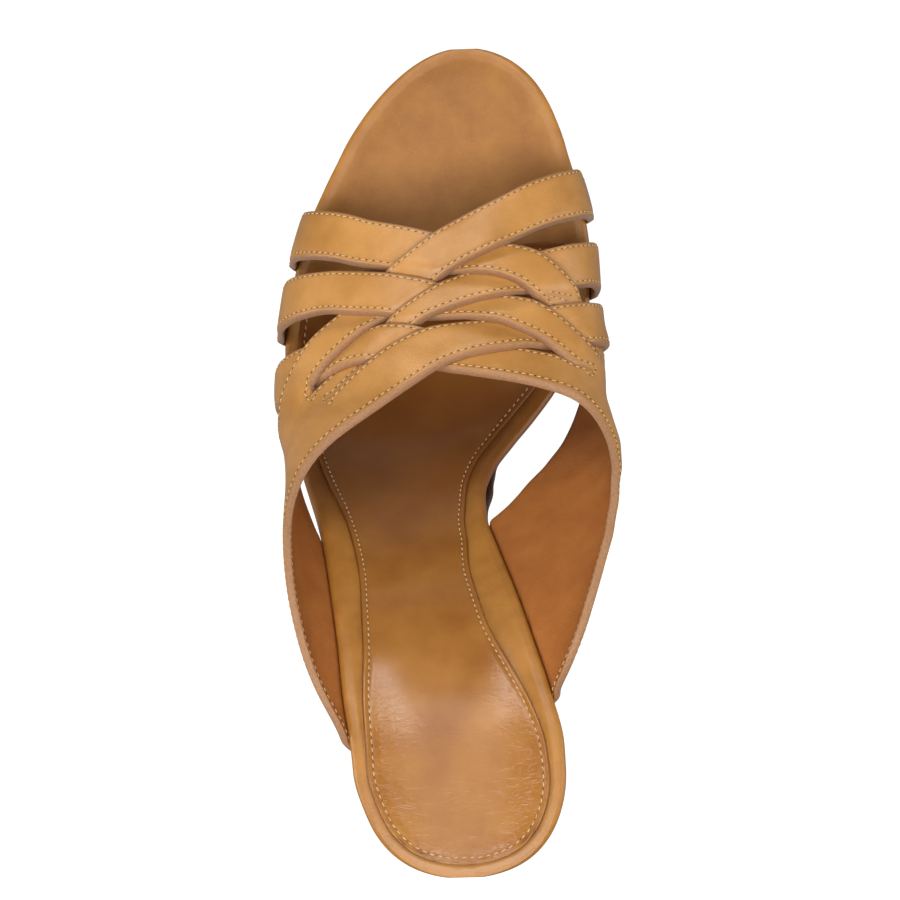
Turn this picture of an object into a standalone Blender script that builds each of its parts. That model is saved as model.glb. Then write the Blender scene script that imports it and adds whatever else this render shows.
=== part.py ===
"""Open-toe woven leather mule on a tall covered heel, left shoe, empty, standing on its sole.

All sizes are millimetres until a point is handed to Blender. Depth runs back from the toe tip,
X grows towards the big-toe side, and arc is the distance along the footbed from its toe tip.
The upper is two leather hands: each has a palm lasted to one flank of the heel half and three
fingers that cross the foot, weave through the other hand's fingers and are lasted under the
far edge of the footbed.
"""
import bmesh
import bpy
import numpy as np
from mathutils import Vector

MM = 0.001                 # metres in a millimetre

# ---- driving sizes ----------------------------------------------------------------------------
BED_LENGTH = 237.5         # footbed, along its curve
BED_LOW = 8.4              # top of the footbed over the floor at the ball
BED_THICK = 3.0            # wrapped insole board
BED_DISH = 0.8             # how far the footbed sinks inside its rim
RIM_WIDTH = 6.0            # raised rim round the footbed
LAYER_GAP = 0.3            # between curved pieces that meet
LEATHER = 1.7              # doubled strap leather
SOLE_THICK = 3.2           # outsole at its edge
LASTING = 6.5              # width of the ledge that takes the lasted strap ends
SOCK_THICK = 0.8
WEAVE_LIFT = 0.9           # a finger rises or sinks this much where it crosses another
FINGER_GAP = 1.3           # least gap between two fingers of one hand
FINGER_SAMPLES = 30        # mesh rows along a finger and along a palm
PALM_SAMPLES = 33
BEND_LINES = (0.0, 4.2, 5.3, 6.4, 7.5, 8.8)    # mesh lines from a lasted edge, round its bend
TOE_RADIUS, TOE_X = 26.0, 3.0
HEEL_RADIUS, HEEL_X = 26.0, 1.0

# ---- footbed -----------------------------------------------------------------------------------
# arc from the toe tip, pitch in degrees (positive climbs towards the heel)
PITCH = np.array([
    (0, -7), (24, -5), (49, -2), (67, 2), (81, 17), (95, 37), (109, 49), (123, 52.5),
    (156, 51), (174, 42), (191, 28), (206, 14), (219, 6), (BED_LENGTH, 4)], float)

# arc, little-toe edge X, big-toe edge X; the toe and heel ends are rounded off by edges()
OUTLINE = np.array([
    (0, -19.8, 27.0), (6, -21.3, 26.8), (12, -23.2, 26.7), (18, -25.4, 27.0), (25, -28.6, 28.2),
    (34, -33.4, 30.6), (43, -37.7, 32.7), (54, -41.4, 33.8), (64, -43.6, 33.4), (76, -45.1, 30.3),
    (86, -44.8, 25.4), (96, -43.4, 19.0), (106, -41.5, 12.6), (115, -39.7, 8.2), (124, -37.6, 6.4),
    (134, -35.3, 6.9), (145, -33.2, 9.4), (161, -30.9, 13.7), (179, -28.6, 18.4), (194, -27.1, 22.5),
    (206, -25.4, 25.1), (213, -24.8, 25.4), (221, -24.2, 26.0), (229, -25.0, 27.4),
    (BED_LENGTH, -27.2, 30.5)], float)

# arc, sock margin inside the little-toe edge, inside the big-toe edge
SOCK_MARGIN = np.array([
    (45, 3.5, 3.5), (79, 3.5, 3.8), (99, 4.2, 4.8), (120, 5.5, 4.6), (139, 7.1, 6.2), (155, 7.5, 9.0),
    (169, 6.7, 9.4), (184, 5.7, 7.2), (196, 4.5, 5.2), (206, 3.7, 4.3), (214, 3.4, 3.8),
    (BED_LENGTH, 3.2, 3.2)], float)
SOCK_FRONT = 52.0          # arc where the sock begins

# arc, how far the outsole's edge stands outside the footbed's: little-toe side, big-toe side
SOLE_MARGIN = np.array([
    (0, -1.0, -1.0), (60, -0.6, -0.6), (76, -0.6, -1.1), (88, -0.8, -2.4), (98, -1.3, -3.5),
    (105, -1.6, -3.6), (112, -1.7, -1.2), (119, -1.8, 0.5), (127, -1.8, 0.2), (138, -1.4, 0.6),
    (155, -1.0, -0.4), (BED_LENGTH, -1.0, -1.0)], float)

# arc, share of its full depth that the outsole's ledge for lasted leather has
LEDGE = np.array([(0, 0.05), (5, 0.1), (26, 1), (211, 1), (230, 0.1), (BED_LENGTH, 0.05)], float)

# ---- last: the foot shape that carries the upper ------------------------------------------------
# depth; how far the widest line stands outside the footbed edge and over it, little-toe side then
# big-toe side; X and height over the floor of the ridge
LAST = np.array([
    (19, 1.0, 7, 0.8, 7, 4, 32), (31, 0.9, 8, 0.8, 8, 4, 35.5), (44, 0.6, 8, 0.9, 9, 3, 38.5),
    (59, 0.3, 9, 1.6, 10, 1, 42.5), (69, 0.3, 10, 2.9, 12, 0, 46), (79, 0.4, 11, 7.7, 17, -1, 51),
    (87, 1.1, 12, 11.0, 25, -2, 57), (95, 1.5, 15, 19.2, 34, -2, 66), (102, 0.4, 21, 27.8, 36, -2, 76),
    (109, 1.2, 27, 32.9, 35.5, -2, 86), (118, 4.7, 29, 31.7, 30.5, -2, 96), (128, 7.1, 24, 25.1, 24, -2, 106),
    (138, 7.8, 17, 17.7, 17, -2, 112), (148, 7.2, 11, 10.8, 10.5, -2, 116),
    (156, 5.4, 7.5, 4.6, 6.5, -2, 118), (165, 2.6, 5, 0.8, 4, -2, 120),
    (175, 0.8, 4, 0.8, 4, -2, 121)], float)
FEATHER_OUT, FEATHER_DOWN = 1.5, 1.4      # leather's middle beside the footbed edge
TURN_RADIUS = 2.8                          # leather's bend under the footbed
TUCK = 4.5                                 # lasted margin beyond the bend
MARGIN_INSET = 0.3                         # the leather's end before the end of the tuck

# ---- fingers: depth, girth round the last from its ridge (+ big-toe side), width ------------------
# a girth of None is the end of the lasted margin under the footbed
FINGERS = {
    "A1": [(40.4, None, 12.0), (39.9, 48, 12.0), (38.9, 41, 12.1), (38.7, 35, 12.2), (39.5, 27, 12.2),
           (41.6, 19, 12.0), (45.0, 11.5, 11.6), (49.2, 3, 11.0), (53.8, -4.7, 10.6),
           (59.0, -11.3, 10.2), (64.2, -18.2, 9.6), (70.7, -26.8, 8.8), (77.4, -34.2, 8.4),
           (82.5, -38.8, 8.6)],
    "A2": [(60.8, None, 11.6), (59.4, 56, 11.5), (57.9, 47, 11.3), (56.7, 40, 11.0), (57.1, 31, 10.7),
           (58.3, 22, 9.8), (60.0, 13, 8.6), (61.8, 5, 8.0), (64.4, -2, 7.0), (67.6, -8.6, 6.0),
           (71.6, -14, 5.0), (76.4, -19.6, 4.8), (81.4, -25.0, 4.8), (85.0, -29.0, 5.2)],
    "A3": [(76.8, None, 11.6), (75.4, 61, 11.4), (73.6, 50, 11.0), (72.1, 43, 10.6), (72.1, 34, 10.2),
           (72.6, 25, 9.5), (73.6, 16, 8.6), (74.6, 8.5, 8.6), (75.8, 2, 9.2), (78.0, -5, 10.4),
           (81.4, -11.5, 11.0), (86.0, -17.8, 10.2), (90.6, -23.8, 9.0)],
    "B1": [(49.2, None, 11.8), (48.5, -62, 11.8), (47.6, -53, 11.7), (47.0, -46, 11.6),
           (47.2, -40, 11.6), (48.2, -32, 11.4), (50.0, -25, 11.0), (51.4, -17, 10.6), (53.0, -8, 9.8),
           (54.2, 2, 8.8), (55.2, 9.5, 8.2), (57.3, 16.5, 8.6), (61.0, 22.5, 9.2), (65.2, 27.6, 9.2),
           (69.8, 33, 8.6), (73.6, 37.8, 7.6)],
    "B2": [(69.8, None, 12.0), (68.6, -68, 11.8), (66.2, -57, 11.4), (63.8, -49, 11.0),
           (62.7, -42, 10.6), (62.2, -34, 10.2), (62.8, -26, 10.4), (63.6, -18, 10.2),
           (64.6, -10, 9.2), (65.8, -2, 7.8), (66.8, 5, 6.8), (67.8, 12, 7.0), (70.0, 19, 8.0),
           (73.2, 25.5, 8.0), (77.0, 31.6, 7.2), (79.6, 35.4, 6.0)],
    "B3": [(92.4, None, 10.4), (90.2, -71, 10.2), (86.6, -57, 10.0), (83.4, -48, 10.3),
           (80.9, -40.5, 10.0), (78.6, -32, 9.0), (76.6, -24, 8.4), (75.8, -16, 8.6), (76.6, -7, 8.6),
           (78.4, 2, 8.4), (80.4, 11, 8.0), (81.8, 18.5, 7.8), (83.6, 25.4, 7.4), (86.0, 31, 6.6)],
}
LASTED_RUN = 26.0          # a finger's edges follow the margin's end over this length

# ---- palms: free or lasted lower edge (depth, girth), topline (depth, girth) ----------------------
PALMS = {
    "A": [(85.5, -45.3, 97.6, -27.5), (92.0, -48.5, 101.5, -34.0), (99.0, -55.0, 106.0, -39.2),
          (105.0, -63.5, 110.5, -42.2), (110.5, -71.0, 115.5, -44.2), (115.5, -75.0, 120.5, -45.4),
          (119.5, -77.0, 125.5, -46.0), (123.5, -77.6, 129.0, -46.4), (125.0, -79.6, 131.0, -46.4),
          (126.4, -81.8, 133.0, -46.4), (127.7, -83.8, 134.4, -46.3), (129.4, None, 136.0, -46.2),
          (138.0, None, 141.0, -46.0), (148.0, None, 149.5, -44.6), (159.0, None, 159.5, -43.2),
          (166.0, None, 166.5, -42.9), (170.5, None, 171.0, -45.0), (174.2, None, 174.4, -47.7),
          (177.0, None, 177.0, -50.2)],
    "B": [(75.8, 43.8, 90.5, 35.0), (83.0, 53.5, 95.0, 39.0), (91.0, 64.0, 99.5, 41.8),
          (97.5, 71.5, 104.5, 44.0), (104.0, 78.8, 110.0, 45.6), (110.5, 84.2, 116.0, 46.8),
          (116.5, 89.0, 121.5, 47.4), (120.0, 92.0, 125.0, 47.4), (121.6, 94.5, 127.0, 47.3),
          (123.2, 97.5, 129.0, 47.1), (125.6, None, 131.5, 46.8),
          (133.0, None, 137.0, 45.0), (143.0, None, 145.5, 43.2), (151.5, None, 152.5, 42.6),
          (157.0, None, 157.5, 44.0), (161.0, None, 161.2, 48.2), (164.0, None, 164.2, 51.6),
          (166.5, None, 166.5, 54.4)],
}
# where each hand's slits end: between fingers 1 and 2, between fingers 2 and 3
SLITS = {"A": ((88.2, -36.0), (89.6, -30.2)), "B": ((79.3, 40.4), (84.3, 37.9))}
SHARES = (0.36, 0.67)      # borders of the bands across a palm, away from its slits

# ---- heel: height over the floor, depth of its front, depth of its back, half width, roundness ----
HEEL = np.array([
    (96, 156.0, 201.6, 24.6, 0.00), (84, 157.5, 201.3, 24.0, 0.00), (76, 160.5, 199.6, 20.6, 0.15),
    (66, 165.2, 195.4, 14.8, 0.40), (54, 169.6, 190.6, 9.8, 0.70), (40, 172.4, 186.9, 6.9, 0.90),
    (24, 173.6, 184.4, 5.3, 1.00), (6.3, 173.8, 183.0, 4.6, 1.00)], float)
TIP_HEIGHT = 6.0           # top piece


def monotone(x, xs, ys):
    """Smooth curve through a table that never overshoots its rows."""
    step = np.diff(xs)
    slope = np.diff(ys) / step
    tangent = np.zeros_like(ys)
    for i in range(1, len(xs) - 1):
        if slope[i - 1] * slope[i] > 0:
            near = 2 * step[i] + step[i - 1]
            far = step[i] + 2 * step[i - 1]
            tangent[i] = (near + far) / (near / slope[i - 1] + far / slope[i])
    tangent[0], tangent[-1] = slope[0], slope[-1]
    x = np.clip(x, xs[0], xs[-1])
    i = np.clip(np.searchsorted(xs, x) - 1, 0, len(xs) - 2)
    t = (x - xs[i]) / step[i]
    return ((2 * t**3 - 3 * t**2 + 1) * ys[i] + (t**3 - 2 * t**2 + t) * step[i] * tangent[i]
            + (3 * t**2 - 2 * t**3) * ys[i + 1] + (t**3 - t**2) * step[i] * tangent[i + 1])


# the footbed's side view, integrated from its pitch
ARC = np.arange(0.0, BED_LENGTH + 0.25, 0.5)
ANGLE = np.radians(monotone(ARC, PITCH[:, 0], PITCH[:, 1]))
DEPTH = np.concatenate([[0.0], np.cumsum((np.cos(ANGLE)[1:] + np.cos(ANGLE)[:-1]) * 0.25)])
RISE = np.concatenate([[0.0], np.cumsum((np.sin(ANGLE)[1:] + np.sin(ANGLE)[:-1]) * 0.25)])
RISE += BED_LOW - RISE.min()
BED_DEPTH = DEPTH[-1]

# brings the middle of the shoe's bounding box over the origin
SHIFT_X, SHIFT_Y = 3.4, BED_DEPTH / 2


def edges(arc):
    """X of the footbed's two edges, rounded off at the toe and the heel."""
    sides = []
    toe = np.sqrt(1 - (1 - np.clip(arc / TOE_RADIUS, 0, 1))**2)
    heel = np.sqrt(1 - (1 - np.clip((BED_LENGTH - arc) / HEEL_RADIUS, 0, 1))**2)
    for column in (1, 2):
        x = monotone(arc, OUTLINE[:, 0], OUTLINE[:, column])
        x = TOE_X + (x - TOE_X) * toe
        sides.append(HEEL_X + (x - HEEL_X) * heel)
    return sides


def on_bed(arc, x, over):
    """A point at this distance square to the footbed's top surface."""
    angle = np.interp(arc, ARC, ANGLE)
    depth = np.interp(arc, ARC, DEPTH) - over * np.sin(angle)
    return (x, -depth, np.interp(arc, ARC, RISE) + over * np.cos(angle))


def dish(arc, x):
    """Depth of the footbed's hollow at x."""
    low, high = edges(arc)
    inside = np.clip((min(x - low, high - x) - 1.5) / RIM_WIDTH, 0, 1)
    return -BED_DISH * inside * inside * (3 - 2 * inside)


def stations(start, end, count):
    """Arc positions, closer together at both rounded ends."""
    turn = np.linspace(0, np.pi, count)
    eased = 0.55 * (1 - np.cos(turn)) / 2 + 0.45 * turn / np.pi
    return start + (end - start) * eased


def new_material(name, colour, roughness):
    material = bpy.data.materials.new(name)
    material.use_nodes = True
    shader = material.node_tree.nodes["Principled BSDF"]
    shader.inputs["Base Color"].default_value = (*colour, 1.0)
    shader.inputs["Roughness"].default_value = roughness
    shader.inputs["Metallic"].default_value = 0.0
    return material


def new_object(name, points, faces, material, smooth_angle=40):
    """A mesh object from millimetre points."""
    mesh = bpy.data.meshes.new(name)
    mesh.from_pydata([Vector(p) * MM for p in points], [], faces)
    shape = bmesh.new()
    shape.from_mesh(mesh)
    bmesh.ops.recalc_face_normals(shape, faces=shape.faces)
    shape.to_mesh(mesh)
    shape.free()
    mesh.materials.append(material)
    mesh.shade_smooth()
    mesh.set_sharp_from_angle(angle=np.radians(smooth_angle))
    thing = bpy.data.objects.new(name, mesh)
    bpy.context.scene.collection.objects.link(thing)
    return thing


def loft(name, rings, material, smooth_angle=40):
    """A closed solid through closed rings of equal length."""
    count = len(rings[0])
    points = [p for ring in rings for p in ring]
    faces = [tuple(range(count))[::-1]]
    for i in range(len(rings) - 1):
        for j in range(count):
            k = (j + 1) % count
            faces.append((i * count + j, i * count + k, (i + 1) * count + k, (i + 1) * count + j))
    last = (len(rings) - 1) * count
    faces.append(tuple(range(last, last + count)))
    return new_object(name, points, faces, material, smooth_angle)


def footbed_ring(arc, side_points=3, top_points=11):
    """Section of the wrapped insole board: dished top, round edges, flat underside."""
    low, high = edges(arc)
    radius = min(BED_THICK / 2, (high - low) * 0.4)
    ring = []
    for x in np.linspace(low + radius, high - radius, top_points):
        ring.append((x, dish(arc, x)))
    for turn in np.linspace(np.pi / 2, -np.pi / 2, side_points + 2)[1:-1]:
        ring.append((high - radius + radius * np.cos(turn), -BED_THICK / 2 * (1 - np.sin(turn))))
    for x in np.linspace(high - radius, low + radius, 4):
        ring.append((x, -BED_THICK))
    for turn in np.linspace(-np.pi / 2, -3 * np.pi / 2, side_points + 2)[1:-1]:
        ring.append((low + radius + radius * np.cos(turn), -BED_THICK / 2 * (1 - np.sin(turn))))
    return [on_bed(arc, x, over) for x, over in ring]


def make_footbed(material):
    return loft("footbed", [footbed_ring(a) for a in stations(0.35, BED_LENGTH - 0.3, 48)], material)


def make_sock(material):
    """Stitched sock lying in the footbed's hollow, from under the straps to the heel."""
    rings = []
    for arc in stations(SOCK_FRONT, BED_LENGTH - SOCK_MARGIN[-1, 1], 34):
        low, high = edges(arc)
        low += monotone(arc, SOCK_MARGIN[:, 0], SOCK_MARGIN[:, 1])
        high -= monotone(arc, SOCK_MARGIN[:, 0], SOCK_MARGIN[:, 2])
        across = np.linspace(low, high, 9)
        ring = [on_bed(arc, x, dish(arc, x) + LAYER_GAP + SOCK_THICK) for x in across]
        ring += [on_bed(arc, x, dish(arc, x) + LAYER_GAP) for x in across[::-1]]
        rings.append(ring)
    return loft("sock", rings, material)


CROWN = -BED_THICK - LAYER_GAP     # top of the outsole under the footbed


def ledge_level(arc):
    """Level of the outsole's ledge, over the footbed's top."""
    return CROWN - (LEATHER + 1.5 * LAYER_GAP) * monotone(arc, LEDGE[:, 0], LEDGE[:, 1])


def make_outsole(material):
    """Outsole: raised in the middle to meet the footbed, with a ledge for the lasted leather."""
    rings = []
    for arc in stations(1.2, BED_LENGTH - 1.2, 44):
        low, high = edges(arc)
        low -= monotone(arc, SOLE_MARGIN[:, 0], SOLE_MARGIN[:, 1])
        high += monotone(arc, SOLE_MARGIN[:, 0], SOLE_MARGIN[:, 2])
        step = min(LASTING, 0.3 * (high - low))
        ledge = ledge_level(arc)
        ring = [on_bed(arc, low + 0.4, ledge), on_bed(arc, low + step, ledge),
                on_bed(arc, low + step + 0.8, CROWN), on_bed(arc, (low + high) / 2, CROWN),
                on_bed(arc, high - step - 0.8, CROWN), on_bed(arc, high - step, ledge),
                on_bed(arc, high - 0.4, ledge)]
        under = [(high, -0.8), (high, -2.0), (high - 1.2, -SOLE_THICK), ((low + high) / 2, -SOLE_THICK),
                 (low + 1.2, -SOLE_THICK), (low, -2.0), (low, -0.8)]
        for x, down in under:
            x, y, z = on_bed(arc, x, ledge + down)
            ring.append((x, y, max(z, 0.0)))
        rings.append(ring)
    return loft("outsole", rings, material)


def heel_ring(row, count=32):
    """Level section of the heel: the seat's own outline at the top, an oval further down."""
    z, front, back, half_width, roundness = row
    middle = (front + back) / 2
    half_depth = (back - front) / 2
    ring = []
    for turn in np.linspace(0, 2 * np.pi, count, endpoint=False):
        c, s = np.cos(turn), np.sin(turn)
        power = 2.0 if c > 0 else 3.2 - 1.2 * roundness
        size = (abs(c)**power + abs(s)**power)**(-1 / power)
        x = HEEL_X * 0.5 + half_width * s * size
        ring.append((x, -(middle + half_depth * c * size), z))
    return ring


def make_heel(material, cutter_material):
    rows = np.linspace(0, 1, 22)
    heights = HEEL[-1, 0] + (HEEL[0, 0] - HEEL[-1, 0]) * (1 - rows)
    table = HEEL[::-1]
    rings = []
    for z in heights:
        rings.append(heel_ring([z] + [float(monotone(z, table[:, 0], table[:, k])) for k in range(1, 5)]))
    heel = loft("heel", [ring[::-1] for ring in rings], material)
    # the seat is hollowed to the outsole's underside
    slab = []
    for arc in np.linspace(176, BED_LENGTH, 24):
        under = ledge_level(arc) - SOLE_THICK - LAYER_GAP
        slab.append([on_bed(arc, x, over) for x, over in
                     ((-36, under), (36, under), (36, 22), (-36, 22))])
    slab.append([(x, y - 12, z + 0.5) for x, y, z in slab[-1]])
    cutter = loft("heel_seat_cutter", slab, cutter_material)
    cutter.hide_render = True
    cutter.display_type = "WIRE"
    cut = heel.modifiers.new("seat", "BOOLEAN")
    cut.operation = "DIFFERENCE"
    cut.solver = "EXACT"
    cut.object = cutter
    return heel


def make_top_piece(material):
    ring = heel_ring([0.0] + [float(HEEL[-1, k]) for k in range(1, 5)], 24)
    grown = [(x, y, TIP_HEIGHT) for x, y, z in ring]
    return loft("top_piece", [ring[::-1], grown[::-1]][::-1], material, 30)


# ---- upper ---------------------------------------------------------------------------------------
LAST_ARC_STEPS = 24


def bed_edges_under(depth, below):
    """X of the footbed's edges where this depth lies this far square to its top surface."""
    angle = np.interp(np.interp(depth, DEPTH, ARC), ARC, ANGLE)
    return edges(np.interp(depth - below * np.sin(angle), DEPTH, ARC))


def last_section(depth):
    """The last's section at this depth: X, height and girth, from margin to margin."""
    arc = np.interp(depth, DEPTH, ARC)
    bed = np.interp(depth, DEPTH, RISE)
    slant = 1 / np.cos(np.interp(arc, ARC, ANGLE))
    row = [float(monotone(depth, LAST[:, 0], LAST[:, k])) for k in range(1, 7)]
    ridge_x, ridge_z = row[4], row[5]
    halves = []
    for half, side in enumerate((-1, 1)):
        wide_x = edges(arc)[half] + side * row[2 * half]
        wide_z = bed + row[2 * half + 1]
        turn = np.linspace(0, np.pi / 2, LAST_ARC_STEPS)
        x = [ridge_x + (wide_x - ridge_x) * np.sin(turn)]
        z = [wide_z + (ridge_z - wide_z) * np.cos(turn)]
        feather_x = bed_edges_under(depth, FEATHER_DOWN)[half] + side * FEATHER_OUT
        feather_z = bed - FEATHER_DOWN * slant
        turn = turn[::-1][1:]
        x.append(feather_x + (wide_x - feather_x) * np.sin(turn))
        z.append(feather_z + (wide_z - feather_z) * turn / (np.pi / 2))
        turn = np.linspace(0, np.pi / 2, 10)[1:]
        under_x = bed_edges_under(depth, FEATHER_DOWN + TURN_RADIUS)[half]
        under_x += side * (FEATHER_OUT - TURN_RADIUS)
        x.append(feather_x + (under_x - feather_x) * (1 - np.cos(turn)))
        z.append(feather_z - TURN_RADIUS * slant * np.sin(turn))
        run = np.linspace(0, TUCK, 4)[1:]
        x.append(x[-1][-1] - side * run)
        z.append(z[-1][-1] + 0 * run)
        halves.append((np.concatenate(x), np.concatenate(z)))
    (left_x, left_z), (right_x, right_z) = halves
    x = np.concatenate([left_x[::-1], right_x[1:]])
    z = np.concatenate([left_z[::-1], right_z[1:]])
    girth = np.concatenate([[0.0], np.cumsum(np.hypot(np.diff(x), np.diff(z)))])
    return x, z, girth - girth[len(left_x) - 1]


SECTION_DEPTHS = np.arange(18.0, 182.0, 1.0)
SECTIONS = [last_section(depth) for depth in SECTION_DEPTHS]


def on_last(depth, girth):
    """A point of the last, girth measured round it from the ridge."""
    place = np.clip(depth - SECTION_DEPTHS[0], 0, len(SECTIONS) - 1.001)
    i = int(place)
    mix = place - i
    ends = []
    for x, z, g in (SECTIONS[i], SECTIONS[i + 1]):
        ends.append((np.interp(girth, g, x), np.interp(girth, g, z)))
    x = ends[0][0] * (1 - mix) + ends[1][0] * mix
    z = ends[0][1] * (1 - mix) + ends[1][1] * mix
    return np.array((x, -depth, z))


def outward(depth, girth):
    """Unit normal of the last, pointing away from the foot."""
    along = on_last(depth + 1.5, girth) - on_last(depth - 1.5, girth)
    around = on_last(depth, girth + 1.5) - on_last(depth, girth - 1.5)
    normal = np.cross(around, along)
    return -normal / np.linalg.norm(normal)


MARGINS = {
    -1: np.array([girth[0] + MARGIN_INSET for x, z, girth in SECTIONS]),
    1: np.array([girth[-1] - MARGIN_INSET for x, z, girth in SECTIONS]),
}


def margin(depth, side):
    """Girth of the lasted margin's end at this depth."""
    return float(np.interp(depth, SECTION_DEPTHS, MARGINS[side]))


def finger_path(name, samples):
    """A finger's middle as (depth, girth) rows from its lasted end to the palm, its width at
    each row, and how far along the finger each row lies."""
    side = 1 if name[0] == "A" else -1
    rows = [(d, margin(d, side) if girth is None else girth, wide) for d, girth, wide in FINGERS[name]]
    table = np.array(rows, float)
    steps = np.hypot(np.diff(table[:, 0]), np.diff(table[:, 1]))
    run = np.concatenate([[0.0], np.cumsum(steps)])
    beyond = np.linspace(BEND_LINES[-1], run[-1], samples - len(BEND_LINES) + 1)
    where = np.append(BEND_LINES[:-1], beyond)
    depth, girth, width = (monotone(where, run, table[:, k]) for k in range(3))
    return np.stack([depth, girth], 1), width, where


def finger_edges(name, samples):
    """Front and rear edges of a finger, kept clear of the fingers beside it."""
    centre, width, run = finger_path(name, samples)
    side = 1 if name[0] == "A" else -1
    along = np.gradient(centre, axis=0)
    along /= np.linalg.norm(along, axis=1)[:, None]
    across = np.stack([np.abs(along[:, 1]), -along[:, 0] * np.sign(along[:, 1])], 1)
    halves = []
    for step in (-1, 1):
        half = width / 2
        beside = name[0] + str(int(name[1]) + step)
        if beside in FINGERS:
            path = finger_path(beside, 4 * samples)[0]
            room = np.linalg.norm(centre[:, None] - path[None], axis=2).min(axis=1)
            half = np.minimum(half, (room - FINGER_GAP) / 2)
        halves.append(half[:, None])
    # near the lasted end both edges lie as far from the margin's end as the middle does
    fade = np.clip((LASTED_RUN - run) / (LASTED_RUN - BEND_LINES[-1]), 0, 1)
    sides = []
    for edge in (centre - across * halves[0], centre + across * halves[1]):
        shift = [margin(e[0], side) - margin(c[0], side) for e, c in zip(edge, centre)]
        edge[:, 1] += np.array(shift) * fade
        sides.append(edge)
    return sides


def palm_rows(hand, samples):
    """Rows of the palm from the split to its back end: four borders as (depth, girth)."""
    side = -1 if hand == "A" else 1
    rows = []
    for low_depth, low_girth, top_depth, top_girth in PALMS[hand]:
        low_girth = margin(low_depth, side) if low_girth is None else low_girth
        rows.append((low_depth, low_girth, top_depth, top_girth))
    rows = np.array(rows, float)
    count = np.arange(len(rows), dtype=float)
    where = np.linspace(0, count[-1], samples)
    low_d, low_g, top_d, top_g = (monotone(where, count, rows[:, k]) for k in range(4))
    low = np.stack([low_d, low_g], 1)
    top = np.stack([top_d, top_g], 1)
    borders = [low]
    for slit, share in zip(SLITS[hand], SHARES):
        border = low + (top - low) * share
        fade = np.exp(-where)[:, None]
        borders.append(border + (np.array(slit) - border[0]) * fade)
    return borders + [top]


def crossings(name, samples):
    """Where along a finger the other hand's fingers cross it, and whether it goes over."""
    own = finger_path(name, samples)[0]
    other = "B" if name[0] == "A" else "A"
    found = []
    for number in (1, 2, 3):
        path = finger_path(other + str(number), samples)[0]
        gaps = np.linalg.norm(own[:, None] - path[None], axis=2).min(axis=1)
        even = (int(name[1]) + number) % 2 == 0
        over = even if name[0] == "A" else not even
        found.append((int(gaps.argmin()), 1.0 if over else -1.0))
    return sorted(found)


def finger_lift(name, samples):
    """Rise of a finger over and under its neighbours, level at both ends."""
    found = crossings(name, samples)
    levels = {0: 0.0, samples - 1: 0.0, max(1, found[0][0] - samples // 6): 0.0}
    levels.update(found)
    place = np.array(sorted(levels), float)
    value = np.array([levels[k] for k in sorted(levels)], float)
    return WEAVE_LIFT * monotone(np.arange(samples, dtype=float), place, value)


def band_shares(band, width):
    """Where the mesh lines of a band lie across it; the lowest band has lines for the bend."""
    if band == 0:
        return np.append(np.array(BEND_LINES) / max(width, BEND_LINES[-1] * 1.15), 1.0)
    return np.linspace(0, 1, 3)


def make_hand(hand, material):
    """One hand of the upper as a sheet over the last, given its leather's thickness."""
    borders = palm_rows(hand, PALM_SAMPLES)
    points, index = [], {}

    def vertex(key, place, lift=0.0):
        if key not in index:
            depth = place[0]
            girth = np.clip(place[1], margin(depth, -1), margin(depth, 1))
            index[key] = len(points)
            points.append(on_last(depth, girth) + outward(depth, girth) * lift)
        return index[key]

    faces = []
    for band in range(3):
        name = f"{hand}{band + 1}"
        front, rear = finger_edges(name, FINGER_SAMPLES)
        lift = finger_lift(name, FINGER_SAMPLES)
        low, high = borders[band], borders[band + 1]
        grid = []
        for i in range(FINGER_SAMPLES):
            shares = band_shares(band, np.linalg.norm(low[0] - high[0]))
            grid.append([vertex((name, i, j), front[i] + (rear[i] - front[i]) * share, lift[i])
                         for j, share in enumerate(shares)])
        for i in range(PALM_SAMPLES):
            shares = band_shares(band, np.linalg.norm(low[i] - high[i]))
            row = []
            for j, share in enumerate(shares):
                line = "border" if share in (0.0, 1.0) else "inside"
                number = band + int(share) if line == "border" else (band, j)
                row.append(vertex((line, number, i), low[i] + (high[i] - low[i]) * share))
            grid.append(row)
        for i in range(len(grid) - 1):
            for j in range(len(grid[i]) - 1):
                faces.append((grid[i][j], grid[i][j + 1], grid[i + 1][j + 1], grid[i + 1][j]))
    sheet = new_object("upper" if hand == "A" else "upper_other_hand", points, faces, material)
    skin = sheet.modifiers.new("leather", "SOLIDIFY")
    skin.thickness = LEATHER * MM
    skin.offset = 0.0
    skin.use_rim = True
    return sheet


def make_upper(material):
    """Both hands, joined where their fingers cross."""
    upper = make_hand("A", material)
    other = make_hand("B", material)
    other.hide_render = True
    other.display_type = "WIRE"
    join = upper.modifiers.new("crossings", "BOOLEAN")
    join.operation = "UNION"
    join.solver = "EXACT"
    join.object = other
    return upper


def main():
    for thing in list(bpy.data.objects):
        bpy.data.objects.remove(thing)
    leather = new_material("tan calf leather", (0.49, 0.27, 0.11), 0.42)
    lining = new_material("sock leather", (0.42, 0.23, 0.10), 0.35)
    sole = new_material("dark sole leather", (0.035, 0.015, 0.010), 0.5)
    rubber = new_material("top piece rubber", (0.02, 0.015, 0.012), 0.7)
    make_footbed(leather)
    make_sock(lining)
    make_outsole(sole)
    make_heel(leather, sole)
    make_top_piece(rubber)
    make_upper(leather)
    for thing in bpy.data.objects:
        thing.location = Vector((SHIFT_X, SHIFT_Y, 0)) * MM


main()
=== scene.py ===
from functools import partial
import bmesh
import bpy
import numpy as np
from mathutils import Matrix, Vector
from mathutils.bvhtree import BVHTree


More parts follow.
